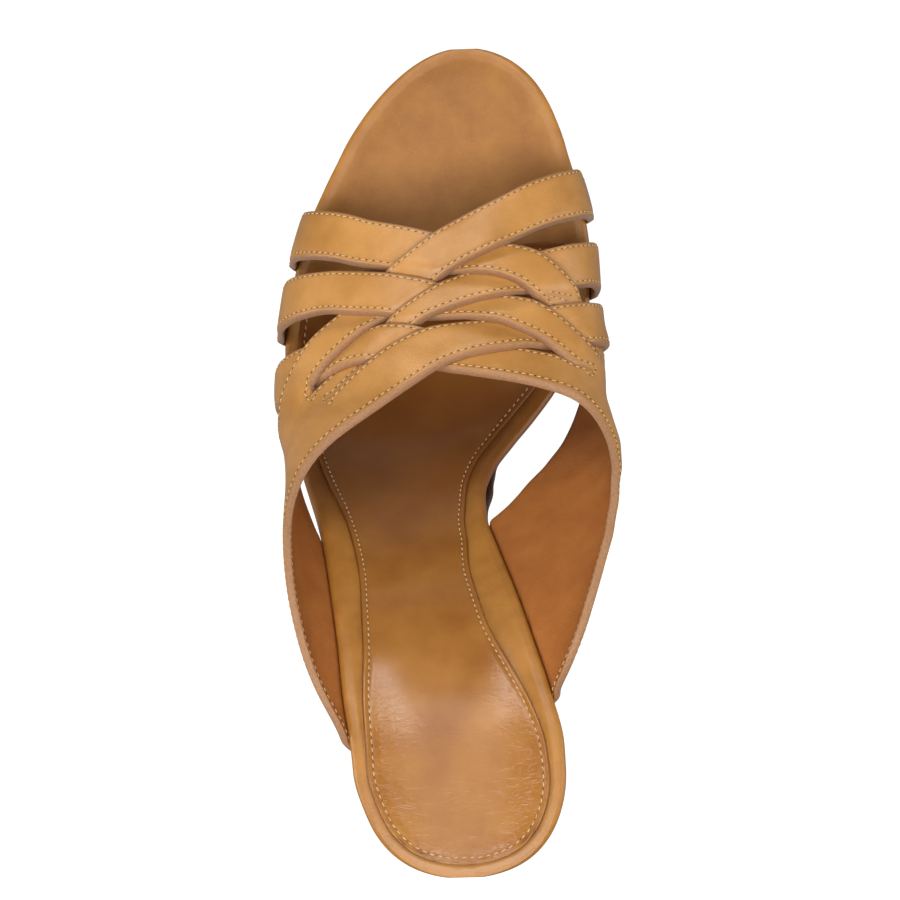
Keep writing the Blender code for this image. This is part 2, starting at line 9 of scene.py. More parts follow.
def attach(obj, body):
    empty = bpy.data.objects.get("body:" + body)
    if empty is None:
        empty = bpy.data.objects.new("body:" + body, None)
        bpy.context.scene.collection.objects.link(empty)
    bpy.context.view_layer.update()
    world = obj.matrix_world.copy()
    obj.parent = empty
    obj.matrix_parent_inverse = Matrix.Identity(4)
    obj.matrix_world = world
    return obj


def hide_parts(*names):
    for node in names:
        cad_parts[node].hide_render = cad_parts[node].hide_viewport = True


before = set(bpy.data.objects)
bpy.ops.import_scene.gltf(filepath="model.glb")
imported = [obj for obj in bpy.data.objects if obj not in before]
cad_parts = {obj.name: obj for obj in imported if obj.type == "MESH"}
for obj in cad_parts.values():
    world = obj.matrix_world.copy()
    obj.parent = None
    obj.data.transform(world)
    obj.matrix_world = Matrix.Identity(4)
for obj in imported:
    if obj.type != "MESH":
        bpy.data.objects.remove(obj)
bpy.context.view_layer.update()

MM = 0.001

# ---- floor, light and camera ---------------------------------------------------------------------
# A white acrylic table, lit from below. A soft box behind the heel gives most of the light, one over
# the toe the pale sheen, a lamp on each side lights the flanks, and two strip lamps in front draw the
# long streaks of gloss. The camera stands a metre above and looks straight down on the shoe.


def linear(code):
    """sRGB hex to the linear colour that a shader takes."""
    parts = [int(code[i:i + 2], 16) / 255 for i in (0, 2, 4)]
    return (*[p / 12.92 if p <= 0.04045 else ((p + 0.055) / 1.055)**2.4 for p in parts], 1.0)


def feed(node, inputs):
    """Give a node's inputs their values, hex colours, or links from a node's first or chosen output."""
    for name, value in inputs.items():
        if isinstance(value, bpy.types.Node):
            value = next(socket for socket in value.outputs if socket.enabled)
        if isinstance(value, bpy.types.NodeSocket):
            node.id_data.links.new(value, node.inputs[name])
        else:
            node.inputs[name].default_value = linear(value) if isinstance(value, str) else value


def add_node(tree, kind, inputs, **settings):
    """A node of this kind with its settings and links."""
    node = tree.nodes.new("ShaderNode" + kind)
    for name, value in settings.items():
        setattr(node, name, value)
    feed(node, inputs)
    return node


def new_material(name):
    """A material, its shader, the piece's own coordinates, and a call that adds a node to it."""
    material = bpy.data.materials.new(name)
    material.use_nodes = True
    add = partial(add_node, material.node_tree)
    shader = material.node_tree.nodes["Principled BSDF"]
    return material, shader, add("TexCoord", {}).outputs["Object"], add


def flecked(name, scale, detail, dark, light, finish, relief=None):
    """A material flecked from dark to light, with its finish; relief is the flecks' mm and strength."""
    material, shader, coords, add = new_material(name)
    flecks = add("TexNoise", {"Vector": coords, "Scale": scale, "Detail": detail})
    tone = add("Mix", {0: flecks, 6: dark, 7: light}, data_type="RGBA")
    feed(shader, {"Base Color": tone, **finish})
    if relief:
        bump = add("Bump", {"Height": flecks, "Distance": relief[0] * MM, "Strength": relief[1]})
        feed(shader, {"Normal": bump})
    return material


# fine dust a millimetre or two apart gives the white a barely seen tooth
acrylic = flecked("acrylic light table, satin white", 600.0, 3.0, "686867", "6E6E6D",
                  {"Roughness": 0.8, "Specular IOR Level": 0.2, "Emission Color": "FFFFFF"})
# the light from below is meant for the camera, so that it doesn't grey the leather with haze
seen = add_node(acrylic.node_tree, "LightPath", {}).outputs["Is Camera Ray"]
glow = add_node(acrylic.node_tree, "MapRange", {"Value": seen, "To Min": 0.12, "To Max": 1.0})
feed(acrylic.node_tree.nodes["Principled BSDF"], {"Emission Strength": glow})

bpy.ops.mesh.primitive_plane_add(size=6.0)
floor = bpy.context.object
floor.name = "floor"
floor.data.materials.append(acrylic)

world = bpy.data.worlds.new("studio walls")
world.use_nodes = True
feed(world.node_tree.nodes["Background"], {"Color": "FFFFFF", "Strength": 0.1})
bpy.context.scene.world = world
bpy.context.scene.view_settings.view_transform = "Standard"

# name, place in metres, width and length in metres, strength in watts; all are turned to the shoe
LAMPS = (("lamp_heel_side", (0.0, -0.35, 1.3), (1.1, 0.5), 13.0),
         ("lamp_toe_side", (0.0, 0.55, 1.3), (0.55, 1.1), 3.0),
         ("lamp_inner_side", (0.9, 0.0, 0.35), (0.5, 0.9), 3.6),
         ("lamp_outer_side", (-0.9, -0.1, 0.3), (0.5, 0.9), 5.5),
         ("strip_inner_side", (0.17, 0.84, 0.85), (0.1, 0.75), 2.3),
         ("strip_outer_side", (-0.34, 0.8, 0.85), (0.1, 0.75), 2.3))
SHOE_MIDDLE = Vector((0, 0, 0.03))
for name, place, size, power in LAMPS:
    lamp = bpy.data.lights.new(name, "AREA")
    lamp.energy = power
    lamp.shape = "RECTANGLE"
    lamp.size, lamp.size_y = size
    holder = bpy.data.objects.new(name, lamp)
    holder.location = place
    holder.rotation_euler = (SHOE_MIDDLE - Vector(place)).to_track_quat("-Z", "Y").to_euler()
    bpy.context.scene.collection.objects.link(holder)

CAMERA_PLACE = Vector((0.047, -0.00779, 1.05))
CAMERA_AIM = Vector((0.0013, -0.0008, 0.04))
CAMERA_ROLL = -1.7  # degrees
camera = bpy.data.cameras.new("camera")
camera.lens = 163.0
camera.sensor_width = 36.0
camera.clip_start = 0.05
viewer = bpy.data.objects.new("camera", camera)
viewer.location = CAMERA_PLACE
upright = Matrix.Rotation(np.radians(CAMERA_ROLL), 3, "Z").to_quaternion()
swing = Vector((0, 0, -1)).rotation_difference(CAMERA_AIM - CAMERA_PLACE)
viewer.rotation_mode = "QUATERNION"
viewer.rotation_quaternion = swing @ upright
bpy.context.scene.collection.objects.link(viewer)
bpy.context.scene.camera = viewer

# ---- footbed -------------------------------------------------------------------------------------
# The insole board, wrapped in tan calf that is turned over its rim and stuck underneath. The rim is
# left a little proud, so that the sock and the toes lie in a shallow hollow.
BED_LENGTH = 237.5  # along its curve
BED_LOW = 8.4  # top over the floor at the ball
BED_THICK = 3.0
BED_DISH = 0.8  # hollow inside the rim
RIM_START, RIM_SLOPE = 2.2, 5.0  # where the hollow starts inside the edge, and its slope
BED_CUP, CUP_REACH = 1.5, 9.0  # the whole bed is pressed a little hollow
BEAD_HIGH, BEAD_WIDE, BEAD_INSET = 0.16, 0.8, 0.5  # the turned leather's bead past the rim's start
TOE_RADIUS, TOE_X = 26.0, 3.0
HEEL_RADIUS, HEEL_X = 26.0, 1.0

# arc, pitch in degrees (positive climbs towards the heel)
PITCH = np.array([
    (0, -7), (24, -5), (49, -2), (67, 2), (81, 17), (95, 37), (109, 49), (123, 52.5),
    (156, 51), (174, 42), (191, 28), (206, 14), (219, 6), (BED_LENGTH, 4)], float)

# arc, little-toe edge X, big-toe edge X; the toe and heel ends are rounded off by bed_edges()
OUTLINE = np.array([
    (0, -19.8, 27.0), (6, -21.3, 26.8), (12, -23.2, 26.7), (18, -25.4, 27.0), (25, -28.6, 28.2),
    (34, -33.4, 30.6), (43, -37.7, 32.7), (54, -41.4, 33.8), (64, -43.6, 33.4), (76, -45.1, 30.3),
    (86, -44.8, 25.4), (96, -43.4, 19.0), (106, -41.5, 12.6), (115, -39.7, 8.2), (124, -37.6, 6.4),
    (134, -35.3, 6.9), (145, -33.2, 9.4), (161, -30.9, 13.7), (179, -28.6, 18.4), (194, -27.1, 22.5),
    (206, -25.4, 25.1), (213, -24.8, 25.4), (221, -24.2, 26.0), (229, -25.0, 27.4),
    (BED_LENGTH, -27.2, 30.5)], float)


def hermite(t, start, end, leave, arrive):
    """Point at share t of a curve between two ends, with its slopes there."""
    return ((2 * t**3 - 3 * t**2 + 1) * start + (t**3 - 2 * t**2 + t) * leave
            + (3 * t**2 - 2 * t**3) * end + (t**3 - t**2) * arrive)


def monotone(x, xs, ys):
    """Smooth curve through a table that never overshoots its rows."""
    step = np.diff(xs)
    slope = np.diff(ys) / step
    tangent = np.zeros_like(ys)
    for i in range(1, len(xs) - 1):
        if slope[i - 1] * slope[i] > 0:
            near = 2 * step[i] + step[i - 1]
            far = step[i] + 2 * step[i - 1]
            tangent[i] = (near + far) / (near / slope[i - 1] + far / slope[i])
    tangent[0], tangent[-1] = slope[0], slope[-1]
    x = np.clip(x, xs[0], xs[-1])
    i = np.clip(np.searchsorted(xs, x) - 1, 0, len(xs) - 2)
    return hermite((x - xs[i]) / step[i], ys[i], ys[i + 1], step[i] * tangent[i], step[i] * tangent[i + 1])


def read(table, x, column=1):
    """A column of a table at x, measured along its first column."""
    return monotone(x, table[:, 0], table[:, column])


def smooth(t):
    """Soft step from 0 to 1."""
    t = np.clip(t, 0, 1)
    return t * t * (3 - 2 * t)


def ramp(x, start, run):
    """Soft step up from 0 at the start; a negative run steps up the other way."""
    return smooth((x - start) / run)


def spaced(start, stop, count, gather):
    """Places from start to stop, drawn together towards both ends by this share."""
    turn = np.linspace(0, np.pi, count)
    return start + (stop - start) * (gather * (1 - np.cos(turn)) / 2 + (1 - gather) * turn / np.pi)


def summed(steps):
    """Running total of the steps, from 0."""
    return np.concatenate([[0.0], np.cumsum(steps)])


def least_gap(places, line, chunk=2000):
    """Distance of each place from the nearest point of a line."""
    gaps = [np.linalg.norm(places[i:i + chunk, None] - line[None], axis=2).min(axis=1)
            for i in range(0, len(places), chunk)]
    return np.concatenate(gaps)


# the footbed's side view, integrated from its pitch
ARC_STEP = 0.5
ARC = np.arange(0.0, BED_LENGTH + ARC_STEP / 2, ARC_STEP)
ANGLE = np.radians(read(PITCH, ARC))
DEPTH, RISE = (summed((wave(ANGLE)[1:] + wave(ANGLE)[:-1]) * ARC_STEP / 2) for wave in (np.cos, np.sin))
RISE += BED_LOW - RISE.min()
PLACE = np.array([3.4, DEPTH[-1] / 2, 0.0])  # moves the shoe's middle over the origin


def bed_edges(arc):
    """X of the footbed's two edges, rounded off at the toe and the heel."""
    sides = []
    toe = np.sqrt(1 - (1 - np.clip(arc / TOE_RADIUS, 0, 1))**2)
    heel = np.sqrt(1 - (1 - np.clip((BED_LENGTH - arc) / HEEL_RADIUS, 0, 1))**2)
    for column in (1, 2):
        x = TOE_X + (read(OUTLINE, arc, column) - TOE_X) * toe
        sides.append(HEEL_X + (x - HEEL_X) * heel)
    return sides


def on_bed(arc, x, over):
    """Points at this distance square to the footbed's top surface."""
    arc, x, over = np.broadcast_arrays(arc, x, over)
    angle = np.interp(arc, ARC, ANGLE)
    depth = np.interp(arc, ARC, DEPTH) - over * np.sin(angle)
    return np.stack([x, -depth, np.interp(arc, ARC, RISE) + over * np.cos(angle)], -1)


# the footbed's outline from the toe tip to the heel tip: little-toe side, big-toe side
outline_arc = spaced(0, BED_LENGTH, count=400, gather=0.7)
RIM = [np.stack([outline_arc, x], 1) for x in bed_edges(outline_arc)]


def dish(arc, x):
    """Level of the footbed's top: a bead inside its edge, then the hollow."""
    edge = least_gap(np.stack([arc, x], 1), np.concatenate(RIM))
    bead = BEAD_HIGH * np.exp(-((edge - RIM_START - BEAD_INSET) / BEAD_WIDE)**2)
    cup = BED_CUP * (1 - np.exp(-(np.maximum(edge - RIM_START, 0) / CUP_REACH)**2))
    return bead - BED_DISH * ramp(edge, RIM_START, RIM_SLOPE) - cup


def new_piece(name, points, faces, materials, face_slots=None, attributes=None):
    """A smooth mesh object from millimetre points, riding on the shoe."""
    mesh = bpy.data.meshes.new(name)
    mesh.from_pydata(((np.asarray(points) + PLACE) * MM).tolist(), [], [tuple(f) for f in faces])
    for material in materials:
        mesh.materials.append(material)
    if face_slots is not None:
        mesh.polygons.foreach_set("material_index", np.asarray(face_slots, np.int32))
    for label, values in (attributes or {}).items():
        mesh.attributes.new(label, "FLOAT", "POINT").data.foreach_set("value", np.asarray(values, np.float32))
    shape = bmesh.new()
    shape.from_mesh(mesh)
    bmesh.ops.recalc_face_normals(shape, faces=shape.faces)
    shape.to_mesh(mesh)
    shape.free()
    mesh.shade_smooth()
    piece = bpy.data.objects.new(name, mesh)
    bpy.context.scene.collection.objects.link(piece)
    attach(piece, "root")
    return piece


def tube_faces(rings, count, close_ends=True):
    """Faces of a skin through rings of equal length."""
    faces = []
    for i in range(rings - 1):
        for j in range(count):
            k = (j + 1) % count
            faces.append((i * count + j, i * count + k, (i + 1) * count + k, (i + 1) * count + j))
    if close_ends:
        faces.append(tuple(range(count))[::-1])
        faces.append(tuple(range((rings - 1) * count, rings * count)))
    return faces


def tube_piece(name, rings, material, attributes=None):
    """A piece that is one closed skin through rings of points."""
    faces = tube_faces(len(rings), len(rings[0]))
    return new_piece(name, np.concatenate(rings), faces, [material], attributes=attributes)


# the colour that grime darkens the leather towards, and the colour of the painted shade
EDGE_TONE, PAINTED_SHADE_TONE = "7A4A2A", "693812"


def calf(name, light, dark, gloss, mottle_mm=9.0, crease=0.5):
    """Full-grain calf, drum dyed and finished by hand with a wax glaze: warm tan that clouds from
    light to dark over a centimetre or two, fine pebbles in the gloss, and a soft sheen."""
    material, shader, coords, add = new_material(name)
    rub, wear, deep = [add("Attribute", {}, attribute_name=label).outputs["Fac"]
                       for label in ("rub", "wear", "shade")]
    clouds = add("TexNoise", {"Vector": coords, "Scale": 1000 / mottle_mm, "Detail": 5.0, "Roughness": 0.62})
    spread = add("MapRange", {"Value": clouds, "From Min": 0.3, "From Max": 0.7})
    dye = add("Mix", {0: spread, 6: dark, 7: light}, data_type="RGBA")
    # the real pebbles are about 0.25 mm across and are drawn at twice that, so that they show
    pebbles = add("TexVoronoi", {"Vector": coords, "Scale": 1000 / 0.5}, feature="SMOOTH_F1")
    pores = add("TexNoise", {"Vector": coords, "Scale": 1000 / 0.225, "Detail": 3.0})
    worn = add("MapRange", {"Value": pores, "From Min": 0.35, "From Max": 0.75,
                            "To Min": 0.96, "To Max": 1.04})
    tone = add("VectorMath", {0: dye, 1: worn}, operation="MULTIPLY")
    # darker round the needle holes and along the cut edges, where wax and dust gather
    grimed_and_shaded = add("Mix", {0: rub, 6: tone, 7: EDGE_TONE}, data_type="RGBA")
    # pale flecks of 0.4 mm where toes have rubbed the glaze, and painted shade where the vamp and straps
    # shade the leather
    flecks = add("TexNoise", {"Vector": coords, "Scale": 2600.0, "Detail": 2.0})
    strong = add("MapRange", {"Value": flecks, "From Min": 0.62, "From Max": 0.76, "To Max": 0.4})
    pale = add("Math", {0: strong, 1: wear}, operation="MULTIPLY")
    rubbed = add("Mix", {0: pale, 6: grimed_and_shaded, 7: "CFA470"}, data_type="RGBA")
    # painted shade: the shade attribute darkens the leather towards the painted shade colour
    dimmed = add("Mix", {0: deep, 6: rubbed, 7: PAINTED_SHADE_TONE}, data_type="RGBA")
    # creases 4 mm apart lie under the pebbles
    creases = add("TexNoise", {"Vector": coords, "Scale": 260.0, "Detail": 6.0,
                               "Roughness": 0.7, "Distortion": 1.2})
    fold = add("Math", {0: creases, 1: crease}, operation="MULTIPLY")
    height = add("Math", {0: pebbles, 1: fold}, operation="ADD")
    bump = add("Bump", {"Height": height, "Distance": 0.07 * MM, "Strength": 0.7})
    haze = add("MapRange", {"Value": clouds, "To Min": gloss - 0.06, "To Max": gloss + 0.08})
    dulled = add("Math", {0: wear, 1: 0.3, 2: haze}, operation="MULTIPLY_ADD")
    feed(shader, {"Base Color": dimmed, "Normal": bump, "Roughness": dulled, "IOR": 1.5,
                  "Specular IOR Level": 0.5})
    return material


bed_calf = calf("full-grain calf, wrapped and waxed", "B87E38", "9F6828", 0.36)

SIDE_POINTS, TOP_POINTS, UNDER_POINTS = 12, 44, 6
# painted shade: darker where the vamp shades the throat, and over the toes where the straps shade them
# how far the painted shade darkens the leather at most; arc where each change of the leather starts, and its
# run
PAINTED_SHADE_MOST, TOE_PAINTED_SHADE = 0.7, 0.3
THROAT_START, THROAT_END = (72, 12), (143, -30)
TOES_RUB, TOES_SHADED = (62, -30), (66, -14)
RUB_INSET = 6.0  # toes rub little nearer to the edge than this
ease = np.linspace(-1, 1, TOP_POINTS)
ease = np.sign(ease) * (1 - (1 - np.abs(ease))**1.5)  # top points drawn together at the rims
side = np.linspace(np.pi / 2, -np.pi / 2, SIDE_POINTS + 2)[1:-1]
side_over = -BED_THICK / 2 * (1 - np.sin(side))
rings, wear, shade = [], [], []
for arc in spaced(0.3, BED_LENGTH - 0.3, count=320, gather=0.6):
    low, high = bed_edges(arc)
    radius = min(BED_THICK / 2, (high - low) * 0.4)  # the sides' roundness, less at the narrow tips
    bulge = radius * np.cos(side)
    top_x = (low + high) / 2 + ease * ((high - low) / 2 - radius)
    x = np.concatenate([top_x, high - radius + bulge,
                        np.linspace(high - radius, low + radius, UNDER_POINTS), low + radius - bulge[::-1]])
    over = np.concatenate([dish(np.full(TOP_POINTS, arc), top_x), side_over,
                           np.full(UNDER_POINTS, -BED_THICK), side_over[::-1]])
    rings.append(on_bed(arc, x, over))
    inside = np.clip((top_x - low) * (high - top_x) / (high - low) / RUB_INSET, 0, 1)
    wear += list(ramp(arc, *TOES_RUB) * inside) + [0.0] * (len(x) - TOP_POINTS)
    # painted shade under the throat, and over the toes inside the rim
    deep = PAINTED_SHADE_MOST * ramp(arc, *THROAT_START) * ramp(arc, *THROAT_END)
    shade += list(deep + TOE_PAINTED_SHADE * ramp(arc, *TOES_SHADED) * inside) + [deep] * (len(x) - TOP_POINTS)
bed = tube_piece("footbed_wrap", rings, bed_calf, {"wear": wear, "shade": shade})
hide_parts("footbed")

# ---- sock ----------------------------------------------------------------------------------------
# A thin glazed calf sock, glued into the footbed's hollow and stitched round its edge, from just
# under the front straps to the heel. Its raw edge is dark; feet and handling have polished it.
SOCK_GAP, SOCK_THICK = 0.3, 0.8
SOCK_FRONT = 52.0  # arc of its front edge
SOCK_CORNER, CORNER_POWER = 5.0, 2.6  # length of its front corners, and how square they are
SOCK_SLANT, SLANT_RUN = 0.14, 25.0  # the front edge runs back towards the little toe

# arc, margin inside the footbed's little-toe edge, inside its big-toe edge
SOCK_MARGIN = np.array([
    (45, 3.5, 3.5), (79, 3.5, 3.8), (99, 4.2, 4.8), (120, 5.5, 4.6), (139, 7.1, 6.2), (155, 7.5, 9.0),
    (169, 6.7, 9.4), (184, 5.7, 7.2), (196, 4.5, 5.2), (206, 3.7, 4.3), (214, 3.4, 3.8),
    (BED_LENGTH, 3.2, 3.2)], float)


def slanted(row, x):
    """Arc of a point of this row of the sock: its front rows slant, the others run straight across."""
    return row - SOCK_SLANT * x * smooth(1 - (row - SOCK_FRONT) / SLANT_RUN)


def unit(vectors):
    """The vectors, each made 1 long."""
    return vectors / np.linalg.norm(vectors, axis=-1, keepdims=True)


def sock_limits(row, inset=0.0):
    """X of the ends of the sock's rows, or of lines at this distance inside its edges."""
    limits = []
    for line, column, side in zip(RIM, (1, 2), (-1, 1)):
        along = unit(np.gradient(line, axis=0))
        inward = np.stack([along[:, 1], -along[:, 0]], 1) * side
        moved = line + inward * (read(SOCK_MARGIN, line[:, 0], column) + inset)[:, None]
        order = np.argsort(moved[:, 0])
        x = np.interp(row, moved[order, 0], moved[order, 1])
        for _ in range(3):  # the slant moves the row's end along the edge a little more each time
            x = np.interp(slanted(row, x), moved[order, 0], moved[order, 1])
        limits.append(x)
    low, high = limits
    start = (row - SOCK_FRONT - inset) / SOCK_CORNER
    corner = (1 - (1 - np.clip(start, 0, 1))**CORNER_POWER)**(1 / CORNER_POWER)
    middle = (low + high) / 2
    return middle + (low - middle) * corner, middle + (high - middle) * corner


def sock_calf():
    """Thin glazed calf: a hard, clear gloss that clouds over 14 mm, with small wrinkles under the heel."""
    material, shader, coords, add = new_material("glazed calf sock, polished by wear")
    rub, wear, deep = [add("Attribute", {}, attribute_name=label).outputs["Fac"]
                       for label in ("rub", "wear", "shade")]
    clouds = add("TexNoise", {"Vector": coords, "Scale": 70.0, "Detail": 6.0})
    spread = add("MapRange", {"Value": clouds, "From Min": 0.32, "From Max": 0.68})
    dye = add("Mix", {0: spread, 6: "955D27", 7: "AC7435"}, data_type="RGBA")
    edged = add("Mix", {0: rub, 6: dye, 7: "6A3A1A"}, data_type="RGBA")
    # painted shade where the shade attribute is set, towards the waist
    dimmed = add("Mix", {0: deep, 6: edged, 7: PAINTED_SHADE_TONE}, data_type="RGBA")
    # wrinkles 1 to 3 mm apart, pulled long across the foot, over pebbles of 0.45 mm
    pulled = add("Mapping", {"Vector": coords, "Scale": (260.0, 620.0, 500.0)})
    wrinkles = add("TexNoise", {"Vector": pulled, "Scale": 1.0, "Detail": 5.0, "Distortion": 1.5})
    ridged = add("MapRange", {"Value": wrinkles, "From Min": 0.45, "From Max": 0.6})
    creased = add("Math", {0: ridged, 1: wear}, operation="MULTIPLY")
    pebbles = add("TexVoronoi", {"Vector": coords, "Scale": 2200.0}, feature="SMOOTH_F1")
    fine = add("Math", {0: pebbles, 1: 0.35}, operation="MULTIPLY")
    height = add("Math", {0: creased, 1: fine}, operation="ADD")
    bump = add("Bump", {"Height": height, "Distance": 0.08 * MM, "Strength": 0.5})
    scuffs = add("MapRange", {"Value": clouds, "To Min": 0.12, "To Max": 0.28})
    feed(shader, {"Base Color": dimmed, "Normal": bump, "Roughness": scuffs, "IOR": 1.5,
                  "Specular IOR Level": 0.5})
    return material


SOCK_STITCH, STITCH_LEVEL = 1.5, 0.86  # row of stitches inside the sock's edge, and how deep it lies
# dark nicks in the last of the sock: X, distance inside the edge, half length, half width
NICKS = ((-13.5, 0.5, 0.9, 0.3), (-9.0, 0.9, 1.4, 0.28), (-6.0, 0.4, 0.7, 0.35), (15.5, 0.8, 1.2, 0.3),
         (17.5, 0.4, 0.8, 0.3))
NICKS_RUN = 25.0
# distance inside the edge, share of the thickness there
SOCK_EDGE = np.array([
    (0.0, 0.0), (0.0, 0.55), (0.12, 0.85), (0.35, 1.0), (0.8, 1.04), (1.2, 0.98),
    (SOCK_STITCH, STITCH_LEVEL), (1.8, 0.98), (2.2, 1.04), (3.0, 1.0)])
EDGE_DARK, ROW_DARK = (0.9, 0.24), (0.2, 0.35)  # raw edge, row of stitches: tone and half width
WAIST_SHADED, HEEL_WORN = (172, -62), (175, 40)  # arc where each starts, and its run; the waist's is painted shade under the vamp
sock_end = BED_LENGTH - SOCK_MARGIN[-1, 2]
sock_rows = spaced(SOCK_FRONT + 0.02, sock_end - 0.02, count=300, gather=0.55)
ACROSS = 41  # mesh points between the two edges' own
EDGE_ROOM = 8.0  # the edges' own points are drawn in where the sock is narrower than this
WRINKLED, WRINKLED_EDGE, WRINKLED_RUN = 0.35, 0.65, 9.0  # over the heel seat, more beside its edge
rings, rub, wear, shade = [], [], [], []
low_edge, high_edge = sock_limits(sock_rows)
outline = np.concatenate([np.stack([slanted(sock_rows, x), x], 1) for x in (low_edge, high_edge)])
for row, low, high in zip(sock_rows, low_edge, high_edge):
    width = high - low
    steps = SOCK_EDGE[:, 0] * min(1, width / EDGE_ROOM)
    inner = np.linspace(steps[-1], width - steps[-1], ACROSS)[1:-1]
    x = low + np.concatenate([steps, inner, width - steps[::-1]])
    arc = slanted(row, x)
    edge = least_gap(np.stack([arc, x], 1), outline)
    level = np.interp(edge, *SOCK_EDGE[1:].T)
    level[0] = level[-1] = 0.0
    bed_level = dish(arc, x)
    top = on_bed(arc, x, bed_level + SOCK_GAP + SOCK_THICK * level)
    under = on_bed(arc[1:-1][::-1], x[1:-1][::-1], bed_level[1:-1][::-1] + SOCK_GAP)
    rings.append(np.concatenate([top, under]))
    dark = EDGE_DARK[0] * np.exp(-(edge / EDGE_DARK[1])**2)
    dark += ROW_DARK[0] * np.exp(-((edge - SOCK_STITCH) / ROW_DARK[1])**2)
    for nick_x, inside, half_length, half_width in NICKS:
        nick = np.exp(-((x - nick_x) / half_length)**2 - ((edge - inside) / half_width)**2)
        dark += EDGE_DARK[0] * nick * (arc > BED_LENGTH - NICKS_RUN)
    rub += list(np.clip(dark, 0, 1)) + [1.0] * (len(x) - 2)
    wrinkled = WRINKLED + WRINKLED_EDGE * np.exp(-(edge / WRINKLED_RUN)**2)
    wear += list(ramp(arc, *HEEL_WORN) * wrinkled) + [0.0] * (len(x) - 2)
    # painted shade: the sock darkens towards the waist, where the vamp shades it
    shade += list(PAINTED_SHADE_MOST * ramp(arc, *WAIST_SHADED)) + [0.0] * (len(x) - 2)
sock = tube_piece("sock_lining", rings, sock_calf(), {"rub": rub, "wear": wear, "shade": shade})
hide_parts("sock")

# ---- outsole -------------------------------------------------------------------------------------
# A sole of pressed leather board with its edge painted dark brown, built up in the middle to meet
# the footbed, with a ledge all round that takes the turned ends of the straps.
SOLE_THICK = 3.2
LEATHER = 1.7  # doubled leather of the upper
LAYER_GAP = 0.3
LASTING = 6.5  # width of the ledge
CROWN = -BED_THICK - LAYER_GAP  # level of the sole's middle under the footbed's top

# arc, how far the sole's edge stands outside the footbed's: little-toe side, big-toe side
SOLE_MARGIN = np.array([
    (0, -1.0, -1.0), (60, -0.6, -0.6), (76, -0.6, -1.1), (88, -0.8, -2.4), (98, -1.3, -3.5),
    (105, -1.6, -3.6), (112, -1.7, -1.2), (119, -1.8, 0.5), (127, -1.8, 0.2), (138, -1.4, 0.6),
    (155, -1.0, -0.4), (BED_LENGTH, -1.0, -1.0)], float)
# arc, share of its full depth that the ledge has
LEDGE = np.array([(0, 0.05), (5, 0.1), (26, 1), (211, 1), (230, 0.1), (BED_LENGTH, 0.05)], float)


def ledge_level(arc):
    """Level of the outsole's ledge, over the footbed's top."""
    return CROWN - (LEATHER + 1.5 * LAYER_GAP) * read(LEDGE, arc)


def sole_leather():
    """Buffed sole leather, stained nearly black-brown in clouds of 8 mm: dull, scratched lengthways."""
    material, shader, coords, add = new_material("sole leather, stained and edge painted")
    clouds = add("TexNoise", {"Vector": coords, "Scale": 120.0, "Detail": 6.0})
    stain = add("Mix", {0: clouds, 6: "3A2014", 7: "553022"}, data_type="RGBA")
    # scratches 0.6 mm apart and ten times as long
    pulled = add("Mapping", {"Vector": coords, "Scale": (1600.0, 160.0, 1600.0)})
    scratches = add("TexNoise", {"Vector": pulled, "Scale": 1.0, "Detail": 4.0})
    bump = add("Bump", {"Height": scratches, "Distance": 0.06 * MM, "Strength": 0.5})
    polish = add("MapRange", {"Value": clouds, "To Min": 0.35, "To Max": 0.55})
    feed(shader, {"Base Color": stain, "Normal": bump, "Roughness": polish, "IOR": 1.5})
    return material


# the sole's section outside the ledge and under it: distance inside the edge, level over the ledge
SOLE_EDGE = ((0.7, 0.0), (0.4, -0.06), (0.15, -0.25), (0.0, -0.6), (0.0, -1.2), (0.0, -1.9),
             (0.12, -2.4), (0.5, -2.85), (1.2, -SOLE_THICK), (3.5, -SOLE_THICK))
STEP_RUN = 0.8  # the step up to the crown leans this far
LEDGE_SHARE = 0.3  # the ledge takes no more of the sole's width than this
rings = []
for arc in spaced(1.2, BED_LENGTH - 1.2, count=260, gather=0.55):
    low, high = bed_edges(arc)
    low -= read(SOLE_MARGIN, arc, 1)
    high += read(SOLE_MARGIN, arc, 2)
    step = min(LASTING, LEDGE_SHARE * (high - low))
    ledge = ledge_level(arc)
    half = [(step + STEP_RUN, CROWN - ledge), (step, 0.0), *SOLE_EDGE]
    right = [(high - inset, ledge + over) for inset, over in half]
    left = [(low + inset, ledge + over) for inset, over in half[::-1]]
    middle = (low + high) / 2
    ring = [(middle, CROWN)] + right + [(middle, ledge - SOLE_THICK)] + left
    x, over = np.array(ring).T
    points = on_bed(arc, x, over)
    points[:, 2] = np.maximum(points[:, 2], 0.0)  # flat where it stands on the floor
    rings.append(points)
sole = tube_piece("outsole_board", rings, sole_leather())
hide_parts("outsole")

# ---- heel and top piece --------------------------------------------------------------------------
# A tall moulded heel covered in the same tan calf, whose two edges meet in a fine seam down its
# back, and a small black rubber top piece nailed under it.

